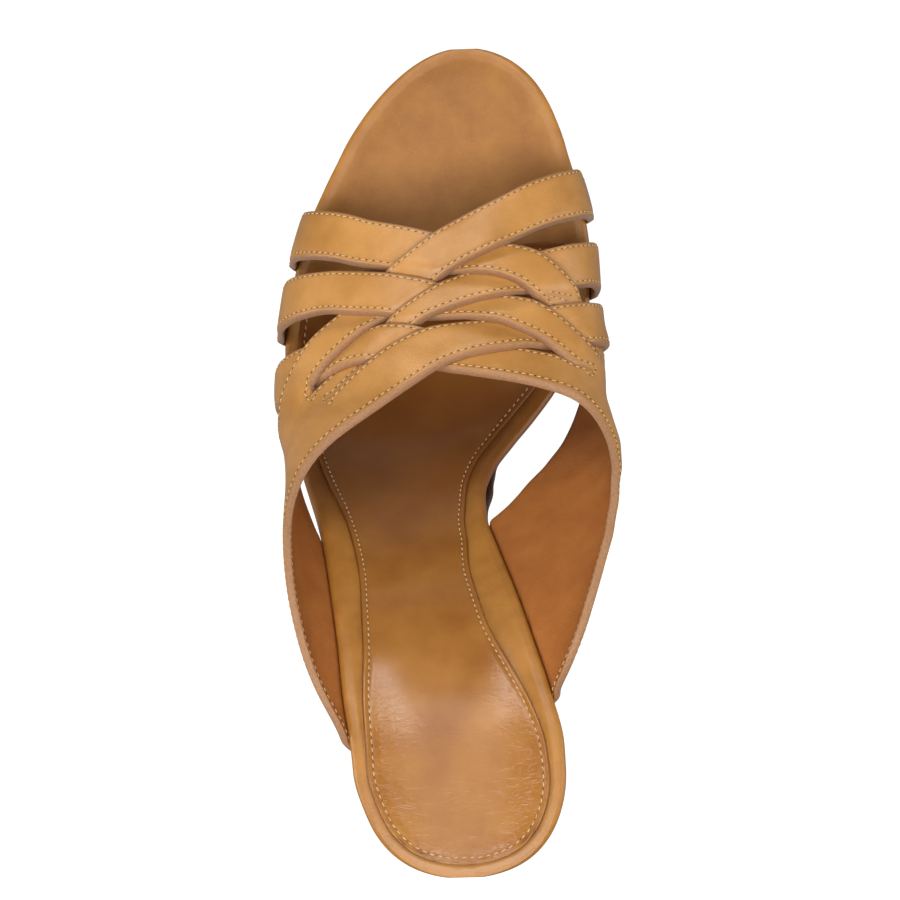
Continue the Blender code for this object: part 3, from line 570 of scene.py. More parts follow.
# height over the floor, depth of its front, depth of its back, half width, roundness
HEEL = np.array([
    (96, 156.0, 201.6, 24.6, 0.00), (84, 157.5, 201.3, 24.0, 0.00), (76, 160.5, 199.6, 20.6, 0.15),
    (66, 165.2, 195.4, 14.8, 0.40), (54, 169.6, 190.6, 9.8, 0.70), (40, 172.4, 186.9, 6.9, 0.90),
    (24, 173.6, 184.4, 5.3, 1.00), (6.3, 173.8, 183.0, 4.6, 1.00)], float)[::-1]
HEEL_MIDDLE = HEEL_X / 2
HEEL_AROUND, HEEL_UP = 96, 120  # mesh points round the heel and up it
FLAT_FRONT, ROUND_FRONT = 3.2, 2.0  # squareness of its front where its roundness is 0 and 1
SEAM_HALF, SEAM_DEEP = 0.35, 0.18
TURNED_HIGH, TURNED_DEEP = 0.4, 0.25  # the leather is turned in round its lower end


def heel_spots(height, turn):
    """Points of the heel's outline at this height and turn from its back."""
    front, back, half_width, roundness = (read(HEEL, height, k) for k in (1, 2, 3, 4))
    c, s = np.cos(turn), np.sin(turn)
    power = np.where(c > 0, ROUND_FRONT, FLAT_FRONT + (ROUND_FRONT - FLAT_FRONT) * roundness)
    size = (np.abs(c)**power + np.abs(s)**power)**(-1 / power)
    return HEEL_MIDDLE + half_width * s * size, (front + back) / 2 + (back - front) / 2 * c * size


# the heel's top is found where its sides meet the slanting underside of the sole
turn = np.linspace(0, 2 * np.pi, HEEL_AROUND, endpoint=False)
seat_arc = ARC[ARC >= 150]  # the heel half of the sole
under = on_bed(seat_arc, 0.0, ledge_level(seat_arc) - SOLE_THICK - LAYER_GAP)
top = np.full(HEEL_AROUND, 90.0)
for _ in range(6):
    top = np.interp(heel_spots(top, turn)[1], -under[:, 1], under[:, 2])
rings = []
for share in np.linspace(0, 1, HEEL_UP):
    height = HEEL[0, 0] + (top - HEEL[0, 0]) * share
    x, depth = heel_spots(height, turn)
    middle = (x.mean(), depth.mean())
    dent = SEAM_DEEP * np.exp(-((x - HEEL_MIDDLE) / SEAM_HALF)**2) * (np.cos(turn) > 0.5)
    turned = TURNED_DEEP * np.exp(-((height - HEEL[0, 0]) / TURNED_HIGH)**2)
    pull = 1 - (dent + turned) / np.hypot(x - middle[0], depth - middle[1])
    x, depth = (centre + (place - centre) * pull for place, centre in zip((x, depth), middle))
    rings.append(np.stack([x, -depth, height], 1))
# its lower end is closed flat, and its top by a fan that follows the slant of the sole
points = np.concatenate(rings + [[rings[-1].mean(axis=0)]])
first = (HEEL_UP - 1) * HEEL_AROUND
faces = tube_faces(HEEL_UP, HEEL_AROUND, close_ends=False) + [tuple(range(HEEL_AROUND))[::-1]]
faces += [(first + j, first + (j + 1) % HEEL_AROUND, len(points) - 1) for j in range(HEEL_AROUND)]
heel_calf = calf("full-grain calf, stretched over the heel", "B87E38", "9F6828", 0.36)
heel = new_piece("heel_cover", points, faces, [heel_calf])
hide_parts("heel")

# talc and wear leave a grey grit of 0.4 mm on the black
rubber = flecked("hard rubber, moulded", 2500.0, 4.0, "1B1614", "39302C", {"Roughness": 0.75}, (0.06, 0.6))
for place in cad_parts["top_piece"].material_slots:
    place.material = rubber

# ---- upper ---------------------------------------------------------------------------------------
# Two hands of doubled calf, each cut in one piece: a palm lasted to one flank of the heel half, and
# three fingers that cross the foot, weave through the other hand's fingers and are turned under the
# far edge of the footbed. Every edge is cut square, coloured and lightly burnished.

# the last; depth; how far the widest line stands outside the footbed edge and over it, little-toe
# side then big-toe side; X and height over the floor of the ridge
LAST = np.array([
    (19, 1.0, 7, 0.8, 7, 4, 32), (31, 0.9, 8, 0.8, 8, 4, 35.5), (44, 0.6, 8, 0.9, 9, 3, 38.5),
    (59, 0.3, 9, 1.6, 10, 1, 42.5), (69, 0.3, 10, 2.9, 12, 0, 46), (79, 0.4, 11, 7.7, 17, -1, 51),
    (87, 1.1, 12, 11.0, 25, -2, 57), (95, 1.5, 15, 19.2, 34, -2, 66), (102, 0.4, 21, 27.8, 36, -2, 76),
    (109, 1.2, 27, 32.9, 35.5, -2, 86), (118, 4.7, 29, 31.7, 30.5, -2, 96), (128, 7.1, 24, 25.1, 24, -2, 106),
    (138, 7.8, 17, 17.7, 17, -2, 112), (148, 7.2, 11, 10.8, 10.5, -2, 116),
    (156, 5.4, 7.5, 4.6, 6.5, -2, 118), (165, 2.6, 5, 0.8, 4, -2, 120),
    (175, 0.8, 4, 0.8, 4, -2, 121)], float)
LAST_EASE = 3.5  # millimetres of depth over which its rows are blended
FEATHER_OUT, FEATHER_DOWN = 1.15, 1.4  # leather's middle beside the footbed edge
TURN_RADIUS = 2.8  # leather's bend under the footbed
TUCK = 4.5  # lasted margin beyond the bend
MARGIN_INSET = 0.3  # the leather ends this far short of the last's own end

FAR_SIDE = {"A": 1, "B": -1}  # side of the foot where a hand's fingers end; its palm is on the other

# fingers: depth, girth round the last from its ridge (+ big-toe side), width
# a girth of None is the end of the lasted margin under the footbed
FINGERS = {
    "A1": [(39.6, None, 10.8), (39.2, 48, 11.0), (38.6, 41, 11.6), (38.6, 35, 12.0), (39.5, 27, 12.2),
           (41.6, 19, 12.0), (45.0, 11.5, 11.6), (49.2, 3, 11.0), (53.8, -4.7, 10.6),
           (59.0, -11.3, 10.2), (64.2, -18.2, 9.6), (70.7, -26.8, 8.8), (77.4, -34.2, 8.4),
           (82.5, -38.8, 8.6)],
    "A2": [(60.2, None, 10.4), (58.8, 56, 10.4), (57.5, 47, 10.7), (56.6, 40, 10.8), (57.1, 31, 10.7),
           (58.3, 22, 9.8), (60.0, 13, 8.6), (61.8, 5, 8.0), (64.4, -2, 7.0), (67.6, -8.6, 6.0),
           (71.6, -14, 5.0), (76.4, -19.6, 4.8), (81.4, -25.0, 4.8), (85.0, -29.0, 5.2)],
    "A3": [(75.9, None, 9.8), (74.6, 61, 9.9), (73.0, 50, 10.0), (72.1, 43, 10.6), (72.1, 34, 10.2),
           (72.6, 25, 9.5), (73.6, 16, 8.6), (74.6, 8.5, 8.6), (75.8, 2, 9.2), (78.0, -5, 10.4),
           (81.4, -11.5, 11.0), (86.0, -17.8, 10.2), (90.6, -23.8, 9.0)],
    "B1": [(49.2, None, 11.8), (48.5, -62, 11.8), (47.6, -53, 11.7), (47.0, -46, 11.6),
           (47.2, -40, 11.6), (48.2, -32, 11.4), (50.0, -25, 11.0), (51.4, -17, 10.6), (53.0, -8, 9.8),
           (54.2, 2, 8.8), (55.2, 9.5, 8.2), (57.3, 16.5, 8.6), (61.0, 22.5, 9.2), (65.2, 27.6, 9.2),
           (69.8, 33, 8.6), (73.6, 37.8, 7.6)],
    "B2": [(69.2, None, 10.8), (68.0, -68, 10.8), (65.8, -57, 10.8), (63.8, -49, 11.0),
           (62.7, -42, 10.6), (62.2, -34, 10.2), (62.8, -26, 10.4), (63.6, -18, 10.2),
           (64.6, -10, 9.2), (65.8, -2, 7.8), (66.8, 5, 6.8), (67.8, 12, 7.0), (70.0, 19, 8.0),
           (73.2, 25.5, 8.0), (77.0, 31.6, 7.2), (79.6, 35.4, 6.0)],
    "B3": [(91.6, None, 9.0), (89.5, -71, 9.0), (86.2, -57, 9.3), (83.4, -48, 10.3),
           (80.9, -40.5, 10.0), (78.6, -32, 9.0), (76.6, -24, 8.4), (75.8, -16, 8.6), (76.6, -7, 8.6),
           (78.4, 2, 8.4), (80.4, 11, 8.0), (81.8, 18.5, 7.8), (83.6, 25.4, 7.4), (86.0, 31, 6.6)],
}
LASTED_RUN, BEND_RUN = 26.0, 8.8  # a finger's edges follow the margin's end over this length
FINGER_GAP, SLIT_RUN = 0.8, 12.0  # least gap between fingers; it closes to a cut at the root

# palms: free or lasted lower edge (depth, girth), topline (depth, girth)
PALMS = {
    "A": [(85.5, -45.3, 97.6, -27.5), (92.0, -48.5, 101.5, -34.0), (99.0, -55.0, 106.0, -39.2),
          (105.0, -63.5, 110.5, -42.2), (110.5, -71.0, 115.5, -44.2), (115.5, -75.0, 120.5, -45.4),
          (119.5, -77.0, 125.5, -46.0), (123.5, -77.6, 129.0, -46.4), (125.0, -79.6, 131.0, -46.4),
          (126.4, -81.8, 133.0, -46.4), (127.7, -83.8, 134.4, -46.3), (129.4, None, 136.0, -46.2),
          (138.0, None, 141.0, -46.0), (148.0, None, 149.5, -44.6), (159.0, None, 159.5, -43.2),
          (166.0, None, 166.5, -42.9), (170.5, None, 171.0, -45.0), (174.2, None, 174.4, -47.7),
          (177.0, None, 177.0, -50.2)],
    "B": [(75.8, 43.8, 90.5, 35.0), (83.0, 53.5, 95.0, 39.0), (91.0, 64.0, 99.5, 41.8),
          (97.5, 71.5, 104.5, 44.0), (104.0, 78.8, 110.0, 45.6), (110.5, 84.2, 116.0, 46.8),
          (116.5, 89.0, 121.5, 47.4), (120.0, 92.0, 125.0, 47.4), (121.6, 94.5, 127.0, 47.3),
          (123.2, 97.5, 129.0, 47.1), (125.6, None, 131.5, 46.8),
          (133.0, None, 137.0, 45.0), (143.0, None, 145.5, 43.2), (151.5, None, 152.5, 42.6),
          (157.0, None, 157.5, 44.0), (161.0, None, 161.2, 48.2), (164.0, None, 164.2, 51.6),
          (166.5, None, 166.5, 54.4)],
}
# where each hand's slits end: between fingers 1 and 2, between fingers 2 and 3
SLITS = {"A": ((88.2, -36.0), (89.6, -30.2)), "B": ((79.3, 40.4), (84.3, 37.9))}
SHARES = (0.36, 0.67)  # borders of the bands across a palm, away from its slits


def bed_edges_under(depth, below):
    """X of the footbed's edges where this depth lies this far square to its top surface."""
    angle = np.interp(np.interp(depth, DEPTH, ARC), ARC, ANGLE)
    return bed_edges(np.interp(depth - below * np.sin(angle), DEPTH, ARC))


def eased(values, spread):
    """A row of values with its unevenness smoothed away; both ends keep their place."""
    reach = int(3 * spread)
    weight = np.exp(-(np.arange(-reach, reach + 1) / spread)**2 / 2)
    padded = np.pad(values, reach, mode="reflect", reflect_type="odd")
    return np.convolve(padded, weight / weight.sum(), "valid")


def run_along(line):
    """Distance of each point of a line from its first, along the line."""
    return summed(np.linalg.norm(np.diff(line, axis=0), axis=1))


def last_section(depth, row):
    """The last's section at this depth, from its table row: X, height and girth."""
    arc = np.interp(depth, DEPTH, ARC)
    bed_height = np.interp(depth, DEPTH, RISE)
    slant = 1 / np.cos(np.interp(arc, ARC, ANGLE))
    ridge_x, ridge_z = row[4], row[5]
    halves = []
    for half, side in enumerate((-1, 1)):
        wide_x = bed_edges(arc)[half] + side * row[2 * half]
        wide_z = bed_height + row[2 * half + 1]
        # from the ridge out to the widest line
        turn = np.linspace(0, np.pi / 2, 40)
        x = [ridge_x + (wide_x - ridge_x) * np.sin(turn)]
        z = [wide_z + (ridge_z - wide_z) * np.cos(turn)]
        # in to the footbed's edge
        feather_x = bed_edges_under(depth, FEATHER_DOWN)[half] + side * FEATHER_OUT
        feather_z = bed_height - FEATHER_DOWN * slant
        turn = turn[::-1][1:]
        x.append(feather_x + (wide_x - feather_x) * np.sin(turn))
        z.append(feather_z + (wide_z - feather_z) * turn / (np.pi / 2))
        # round under it, and on along the lasted margin
        turn = np.linspace(0, np.pi / 2, 16)[1:]
        under_x = bed_edges_under(depth, FEATHER_DOWN + TURN_RADIUS)[half]
        under_x += side * (FEATHER_OUT - TURN_RADIUS)
        x.append(feather_x + (under_x - feather_x) * (1 - np.cos(turn)))
        z.append(feather_z - TURN_RADIUS * slant * np.sin(turn))
        run = np.linspace(0, TUCK, 6)[1:]
        x.append(x[-1][-1] - side * run)
        z.append(z[-1][-1] + 0 * run)
        halves.append((np.concatenate(x), np.concatenate(z)))
    (left_x, left_z), (right_x, right_z) = halves
    x = np.concatenate([left_x[::-1], right_x[1:]])
    z = np.concatenate([left_z[::-1], right_z[1:]])
    girth = run_along(np.stack([x, z], 1))
    return x, z, girth - girth[len(left_x) - 1]


# the last as a grid: a section every millimetre of depth, a point every quarter millimetre of girth
GIRTH_STEP = 0.25
SECTION_DEPTHS = np.arange(18.0, 182.0, 1.0)
GIRTHS = np.arange(-125.0, 125.1, GIRTH_STEP)
last_rows = zip(*[eased(read(LAST, SECTION_DEPTHS, k), LAST_EASE) for k in range(1, 7)])
sections = [last_section(depth, row) for depth, row in zip(SECTION_DEPTHS, last_rows)]
LAST_GRID = np.array([[np.interp(GIRTHS, girth, x), np.interp(GIRTHS, girth, z)] for x, z, girth in sections])
MARGINS = {-1: np.array([girth[0] + MARGIN_INSET for x, z, girth in sections]),
           1: np.array([girth[-1] - MARGIN_INSET for x, z, girth in sections])}


def margin(depth, side):
    """Girth of the lasted margin's end at this depth."""
    return np.interp(depth, SECTION_DEPTHS, MARGINS[side])


def on_last(places):
    """Points of the last at (depth, girth) rows."""
    depth = np.clip(places[:, 0], SECTION_DEPTHS[0], SECTION_DEPTHS[-1] - 0.01)
    girth = np.clip(places[:, 1], margin(depth, -1), margin(depth, 1))
    row = depth - SECTION_DEPTHS[0]
    column = (girth - GIRTHS[0]) / GIRTH_STEP
    i, k = row.astype(int), column.astype(int)
    u, v = row - i, column - k
    x, z = [LAST_GRID[i, n, k] * (1 - u) * (1 - v) + LAST_GRID[i + 1, n, k] * u * (1 - v)
            + LAST_GRID[i, n, k + 1] * (1 - u) * v + LAST_GRID[i + 1, n, k + 1] * u * v for n in (0, 1)]
    return np.stack([x, -places[:, 0], z], 1)


NORMAL_STEP = 1.5  # the last's slope is taken over this distance each way


def outward(places):
    """Unit normals of the last, pointing away from the foot."""
    along, around = (on_last(places + step) - on_last(places - step) for step in np.eye(2) * NORMAL_STEP)
    return unit(np.cross(along, around))


FINGER_STEP, BEND_STEP = 0.8, 0.4  # mesh rows along a finger, and round its bend
BEND_END = 12.0  # run at which the wider rows start
ROOT_ROWS, PALM_ROWS = 8, 130  # mesh rows between finger and palm, and along the palm
PALM_EASE, LASTED_BLEND = 6.0, 3.0  # rows that blend a palm's free edges, and those that end it


def finger_path(name):
    """A finger's middle as (depth, girth) rows from its lasted end, its widths and its run."""
    side = FAR_SIDE[name[0]]
    rows = [(d, margin(d, side) if girth is None else girth, wide) for d, girth, wide in FINGERS[name]]
    table = np.array(rows, float)
    run = run_along(table[:, :2])
    straight = np.linspace(BEND_END, run[-1], int((run[-1] - BEND_END) / FINGER_STEP))
    where = np.concatenate([np.arange(0, BEND_END, BEND_STEP), straight])
    depth, girth, width = (monotone(where, run, table[:, k]) for k in range(3))
    return np.stack([depth, girth], 1), width, where


def finger_edges(name):
    """Front and rear edges of a finger, kept clear of the fingers beside it."""
    centre, width, run = finger_path(name)
    side = FAR_SIDE[name[0]]
    along = unit(np.gradient(centre, axis=0))
    across = np.stack([np.abs(along[:, 1]), -along[:, 0] * np.sign(along[:, 1])], 1)
    halves = []
    for step in (-1, 1):
        half = width / 2
        beside = name[0] + str(int(name[1]) + step)
        if beside in FINGERS:
            path, other_width, _ = finger_path(beside)
            gaps = np.linalg.norm(centre[:, None] - path[None], axis=2)
            room = gaps.min(axis=1) * width / (width + other_width[gaps.argmin(axis=1)])
            half = np.minimum(half, room - FINGER_GAP / 2)
            if {name[1], beside[1]} == {"2", "3"}:
                half += (room - half) * smooth(1 - (run[-1] - run) / SLIT_RUN)
        halves.append(half[:, None])
    fade = np.clip((LASTED_RUN - run) / (LASTED_RUN - BEND_RUN), 0, 1)
    sides = []
    for edge in (centre - across * halves[0], centre + across * halves[1]):
        edge[:, 1] += (margin(edge[:, 0], side) - margin(centre[:, 0], side)) * fade
        sides.append(edge)
    return sides


def palm_borders(hand):
    """Borders of the three bands of a palm, from the slits to its back end."""
    side = -FAR_SIDE[hand]
    rows = [(d, margin(d, side) if g is None else g, top_d, top_g) for d, g, top_d, top_g in PALMS[hand]]
    rows = np.array(rows, float)
    count = np.arange(len(rows), dtype=float)
    where = np.linspace(0, count[-1], PALM_ROWS)
    low_d, low_g, top_d, top_g = (monotone(where, count, rows[:, k]) for k in range(4))
    # the free edges run evenly; the lasted one stays on the margin's end
    lasted = count[[g is None for _, g, _, _ in PALMS[hand]]][0]
    free = ramp(where, lasted, -LASTED_BLEND)
    low_d = low_d + (eased(low_d, PALM_EASE) - low_d) * free
    low_g = low_g + (eased(low_g, PALM_EASE) - low_g) * free
    low = np.stack([low_d, low_g], 1)
    top = np.stack([eased(top_d, PALM_EASE), eased(top_g, PALM_EASE)], 1)
    borders = [low]
    for slit, share in zip(SLITS[hand], SHARES):
        border = low + (top - low) * share
        borders.append(border + (np.array(slit) - border[0]) * np.exp(-where)[:, None])
    return borders + [top]


def joined_border(finger, palm):
    """A finger's edge led on smoothly to a border of the palm."""
    start, end = finger[-1], palm[0]
    reach = np.linalg.norm(end - start)
    leave, arrive = unit(finger[-1] - finger[-4]) * reach, unit(palm[2] - palm[0]) * reach
    share = np.linspace(0, 1, ROOT_ROWS + 2)[1:-1, None]
    return np.concatenate([finger, hermite(share, start, end, leave, arrive), palm])


def eased_root(border, root, spread=7.0, reach=30):
    """An outer edge with the join between finger and palm blended away over this many rows."""
    soft = np.stack([eased(border[:, k], spread) for k in (0, 1)], 1)
    near = smooth(1.5 - np.abs(np.arange(len(border)) - root) / reach)[:, None]
    return border + (soft - border) * near


# front border, rear border and number of rows before the palm, for each band
BANDS = {}
for hand in "AB":
    borders = palm_borders(hand)
    for band in range(3):
        front, rear = finger_edges(f"{hand}{band + 1}")
        root = len(front) + ROOT_ROWS
        front, rear = joined_border(front, borders[band]), joined_border(rear, borders[band + 1])
        if band == 0:
            front = eased_root(front, root)
        if band == 2:
            rear = eased_root(rear, root)
        BANDS[f"{hand}{band + 1}"] = (front, rear, root)

WEAVE_LIFT = 1.0  # a finger rises or sinks this much where it crosses another
WEAVE_SOFT, WEAVE_REACH = 0.4, 3.6  # roundness of the step, and how soon a finger lies down
LIFT_EASE = 1.8  # rows over which the lift is blended
CROSS_ROWS = 30  # rows of a palm that the other hand's fingers still cross


def goes_over(name, other):
    """Plain weave: even pairs have hand A on top."""
    even = (int(name[1]) + int(other[1])) % 2 == 0
    return 1.0 if even == (name[0] == "A") else -1.0


def band_lift(name, places):
    """Rise of a band over and under the other hand's fingers."""
    total = np.full(len(places), 1 / WEAVE_REACH**2)
    value = np.zeros(len(places))
    for number in "123":
        other = ("B" if name[0] == "A" else "A") + number
        front, rear, root = BANDS[other]
        front, rear = front[:root + CROSS_ROWS], rear[:root + CROSS_ROWS]
        middle, half = (front + rear) / 2, np.linalg.norm(rear - front, axis=1) / 2
        gaps = np.linalg.norm(places[:, None] - middle[None], axis=2)
        near = gaps.argmin(axis=1)
        clear = np.maximum(gaps[np.arange(len(places)), near] - half[near], 0)
        weight = 1 / (clear + WEAVE_SOFT)**2
        total += weight
        value += weight * goes_over(name, other)
    return WEAVE_LIFT * value / total


def eased_lift(name, spots):
    """The lift at a grid of places, with its steps blended along the band."""
    lift = band_lift(name, spots.reshape(-1, 2)).reshape(spots.shape[:2])
    return np.apply_along_axis(eased, 0, lift, LIFT_EASE)


# mesh columns: distances inside a cut edge, then even steps between the two sides of each band
EDGE_STEPS = np.array([0.0, 0.1, 0.25, 0.5, 0.75, 1.0, 1.3, 1.8])
INNER_STEPS = (17, 5, 5)
EDGE_SHARE = 0.42  # the edges' own columns take no more of a band's width than this on each side
RUN_OVER = (0.7, 0.3)  # share of a band's width where a palm's lift runs over from the next, and its run
OUTER_THICK, INNER_THICK = 1.0, 0.95  # from the leather's middle to its two faces
EDGE_ROUND, EDGE_DROP = 0.5, 0.42  # rounding of a cut edge
PAINTED = 0.2  # the edge's colour runs this far over the two faces
DOME, DOME_RUN = 0.14, 2.5  # the doubled leather swells a little inside its edges
CHANNEL_DEEP, CHANNEL_WIDE = 0.11, 0.32  # the pull of the stitches
RUB_ROW, RUB_EDGE = 0.35, (0.55, 0.35)  # soiling along the stitches; at the edges, and its width
LINING_PAINTED_SHADE, LINING_SHADE_RUN = 0.5, (116, -16)  # painted shade on the lining near the throat, where the straps shade it: depth and run
NO_EDGE = 9.0  # stands for a distance from an edge that isn't there
LEAN, LEAN_REACH = 0.55, 0.8  # the lining is trimmed this far outside the rear edges
LEAN_END = 4  # rows before the palm where that stops, beside a slit
# rows of stitches: from the front edge, from the rear edge, and round the end of a slit
STITCH_FRONT, STITCH_REAR, STITCH_SLIT = 0.8, 1.05, 1.5
STITCH_START = 7.0  # they start this far along a finger, under the footbed
HEADING_ROW, BOW_POINTS = 60, 24  # palm row from the back that a slit points at; points round its end
# two short rows across the inner hand's first finger, which tack it to the one below
TACKS = (((64.2, 22.8), (65.1, 30.6)), ((65.2, 23.4), (66.4, 30.2)))


def inset_row(name, from_front, inset, start, stop):
    """A line inside a band's edge, between two rows."""
    front, rear, _ = BANDS[name]
    front, rear = front[start:stop], rear[start:stop]
    share = inset / np.maximum(np.linalg.norm(rear - front, axis=1), 2 * inset)[:, None]
    return front + (rear - front) * share if from_front else rear + (front - rear) * share


def stitch_rows(hand):
    """Lines of stitching of a hand: along its outer edges, and down, round and up each slit."""
    names = [f"{hand}{n}" for n in (1, 2, 3)]
    start = int(STITCH_START / BEND_STEP)
    rows = [inset_row(names[0], True, STITCH_FRONT, start, None),
            inset_row(names[2], False, STITCH_REAR, start, None)]
    for k in (0, 1):
        end = np.array(SLITS[hand][k])
        down = inset_row(names[k], False, STITCH_REAR, start, BANDS[names[k]][2])
        up = inset_row(names[k + 1], True, STITCH_FRONT, start, BANDS[names[k + 1]][2])
        down = down[np.linalg.norm(down - end, axis=1) > STITCH_SLIT]
        up = up[np.linalg.norm(up - end, axis=1) > STITCH_SLIT]
        palmward = BANDS[names[k]][1][-HEADING_ROW] - end
        heading = np.arctan2(palmward[1], palmward[0])
        turns = []
        for spot in (down[-1], up[-1]):
            turn = np.arctan2(spot[1] - end[1], spot[0] - end[0]) - heading
            turns.append((turn + np.pi) % (2 * np.pi) - np.pi)
        turn = heading + np.linspace(*turns, BOW_POINTS)
        bow = end + STITCH_SLIT * np.stack([np.cos(turn), np.sin(turn)], 1)
        rows.append(np.concatenate([down, bow, up[::-1]]))
    if hand == "B":
        rows += [np.linspace(start, end, BOW_POINTS) for start, end in np.array(TACKS)]
    return rows


def dense(line, step=0.25):
    """The line with points this close together."""
    run = run_along(line)
    where = np.arange(0, run[-1], step)
    return np.stack([np.interp(where, run, line[:, k]) for k in range(line.shape[1])], 1)


# creases pressed into each palm: from depth, girth to depth, girth; depth and half width of the trough
CREASES = {
    "A": [(100, -50, 112, -66, 0.22, 2.2), (112, -52, 118, -70, 0.18, 2.0), (124, -52, 132, -76, 0.2, 2.4)],
    "B": [(97, 46, 103, 74, 0.28, 2.4), (104, 50, 113, 80, 0.24, 2.2), (90, 44, 93, 60, 0.22, 2.0)],
}


def trough(places, depth0, girth0, depth1, girth1, deep, half_width):
    """A soft crease pressed into the leather along a straight line, running out at both ends."""
    start, end = np.array([depth0, girth0]), np.array([depth1, girth1])
    line = end - start
    share = np.clip((places - start) @ line / (line @ line), 0, 1)
    gap = np.linalg.norm(places - start - share[:, None] * line, axis=1)
    return -deep * np.exp(-(gap / half_width)**2) * (1 - 0.6 * np.abs(2 * share - 1))


def hand_sheet(hand):
    """One hand as a sheet of quads on the last: for each of its points, the place, the lift, the
    distance inside the nearest cut edge and how far the lining leans out."""
    places, lifts, edges, leans, quads, ids = [], [], [], [], [], {}
    for band in range(3):
        label = f"{hand}{band + 1}"
        front, rear, root = BANDS[label]
        width = np.linalg.norm(rear - front, axis=1)[:, None]
        inner = np.linspace(0, 1, INNER_STEPS[band] + 1)[1:-1]
        steps = np.minimum(EDGE_STEPS / width, EDGE_SHARE * EDGE_STEPS / EDGE_STEPS[-1])
        middle = steps[:, -1:] + (1 - 2 * steps[:, -1:]) * inner
        shares = np.concatenate([steps, middle, 1 - steps[:, ::-1]], axis=1)
        spots = front[:, None] + (rear - front)[:, None] * shares[:, :, None]
        rows, columns = shares.shape
        lift = eased_lift(label, spots)
        # across a palm the bands are one piece, so the lift runs over from one to the next
        palm = np.clip((np.arange(rows) - root + ROOT_ROWS) / ROOT_ROWS, 0, 1)[:, None]**2
        for step, share in ((-1, 1 - shares), (1, shares)):
            beside = f"{hand}{band + 1 + step}"
            if beside in BANDS:
                lift = lift + (eased_lift(beside, spots) - lift) * 0.5 * ramp(share, *RUN_OVER) * palm
        # distance inside the nearest cut edge, and inside the rear one; the bands of a palm have none
        before, behind = shares * width, (1 - shares) * width
        edge = np.minimum(before, behind)
        edge[root + 1:] = NO_EDGE
        if band == 0:
            edge[root:] = before[root:]
        if band == 2:
            edge[root:] = behind[root:]
        else:
            behind[root - LEAN_END:] = NO_EDGE
        lean = LEAN * np.exp(-(behind / LEAN_REACH)**2)[:, :, None] * ((rear - front) / width)[:, None]
        grid = np.zeros((rows, columns), int)
        for i in range(rows):
            for j in range(columns):
                key = (band, i, j)
                if i >= root and j in (0, columns - 1):
                    key = ("border", band + (j > 0), i - root)
                # the bands of a palm share the points of their border
                if key not in ids:
                    ids[key] = len(places)
                    places.append(spots[i, j])
                    lifts.append(lift[i, j])
                    edges.append(edge[i, j])
                    leans.append(lean[i, j])
                grid[i, j] = ids[key]
        corners = [grid[:-1, :-1], grid[:-1, 1:], grid[1:, 1:], grid[1:, :-1]]
        quads.append(np.stack(corners, 2).reshape(-1, 4))
    return [np.array(values) for values in (places, lifts, edges, leans)], np.concatenate(quads)


def make_hand(name, hand, materials):
    """One hand as an outer and an inner skin over the last, joined round every cut edge."""
    (places, lifts, edges, leans), quads = hand_sheet(hand)
    rows = [dense(row) for row in stitch_rows(hand)]
    channel = np.exp(-(least_gap(places, np.concatenate(rows)) / CHANNEL_WIDE)**2)
    rounding = EDGE_DROP * (1 - np.clip(edges / EDGE_ROUND, 0, 1))**2
    swell = DOME * smooth(edges / DOME_RUN) * (0.5 + 0.5 * lifts / WEAVE_LIFT)
    lifts = lifts + sum(trough(places, *row) for row in CREASES[hand])
    normal = outward(places)
    outside = lifts + OUTER_THICK - rounding + swell - CHANNEL_DEEP * channel
    inside = lifts - INNER_THICK + rounding + 0.5 * CHANNEL_DEEP * channel
    points = np.concatenate([on_last(places) + normal * outside[:, None],
                             on_last(places + leans) + normal * inside[:, None]])
    count = len(places)
    # edges of the sheet that only one face has are the cut edges
    ends = np.concatenate([quads[:, [0, 1]], quads[:, [1, 2]], quads[:, [2, 3]], quads[:, [3, 0]]])
    pairs, first, times = np.unique(np.sort(ends, axis=1), axis=0, return_index=True, return_counts=True)
    rim = ends[first[times == 1]]
    wall = np.stack([rim[:, 1], rim[:, 0], rim[:, 0] + count, rim[:, 1] + count], 1)
    faces = np.concatenate([quads, quads[:, ::-1] + count, wall])
    painted = edges[quads].mean(axis=1) < PAINTED
    slots = np.concatenate([np.where(painted, 1, 0), np.where(painted, 1, 2), np.ones(len(wall))])
    rub = RUB_ROW * channel + RUB_EDGE[0] * np.exp(-(edges / RUB_EDGE[1])**2)
    # the inner skin adds painted shade near the throat, where the straps shade the lining
    rub = np.concatenate([rub, rub + LINING_PAINTED_SHADE * ramp(places[:, 0], *LINING_SHADE_RUN)])
    piece = new_piece(name, points, faces, materials, slots, {"rub": np.clip(rub, 0, 1)})
    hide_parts("upper")
    return piece, rows


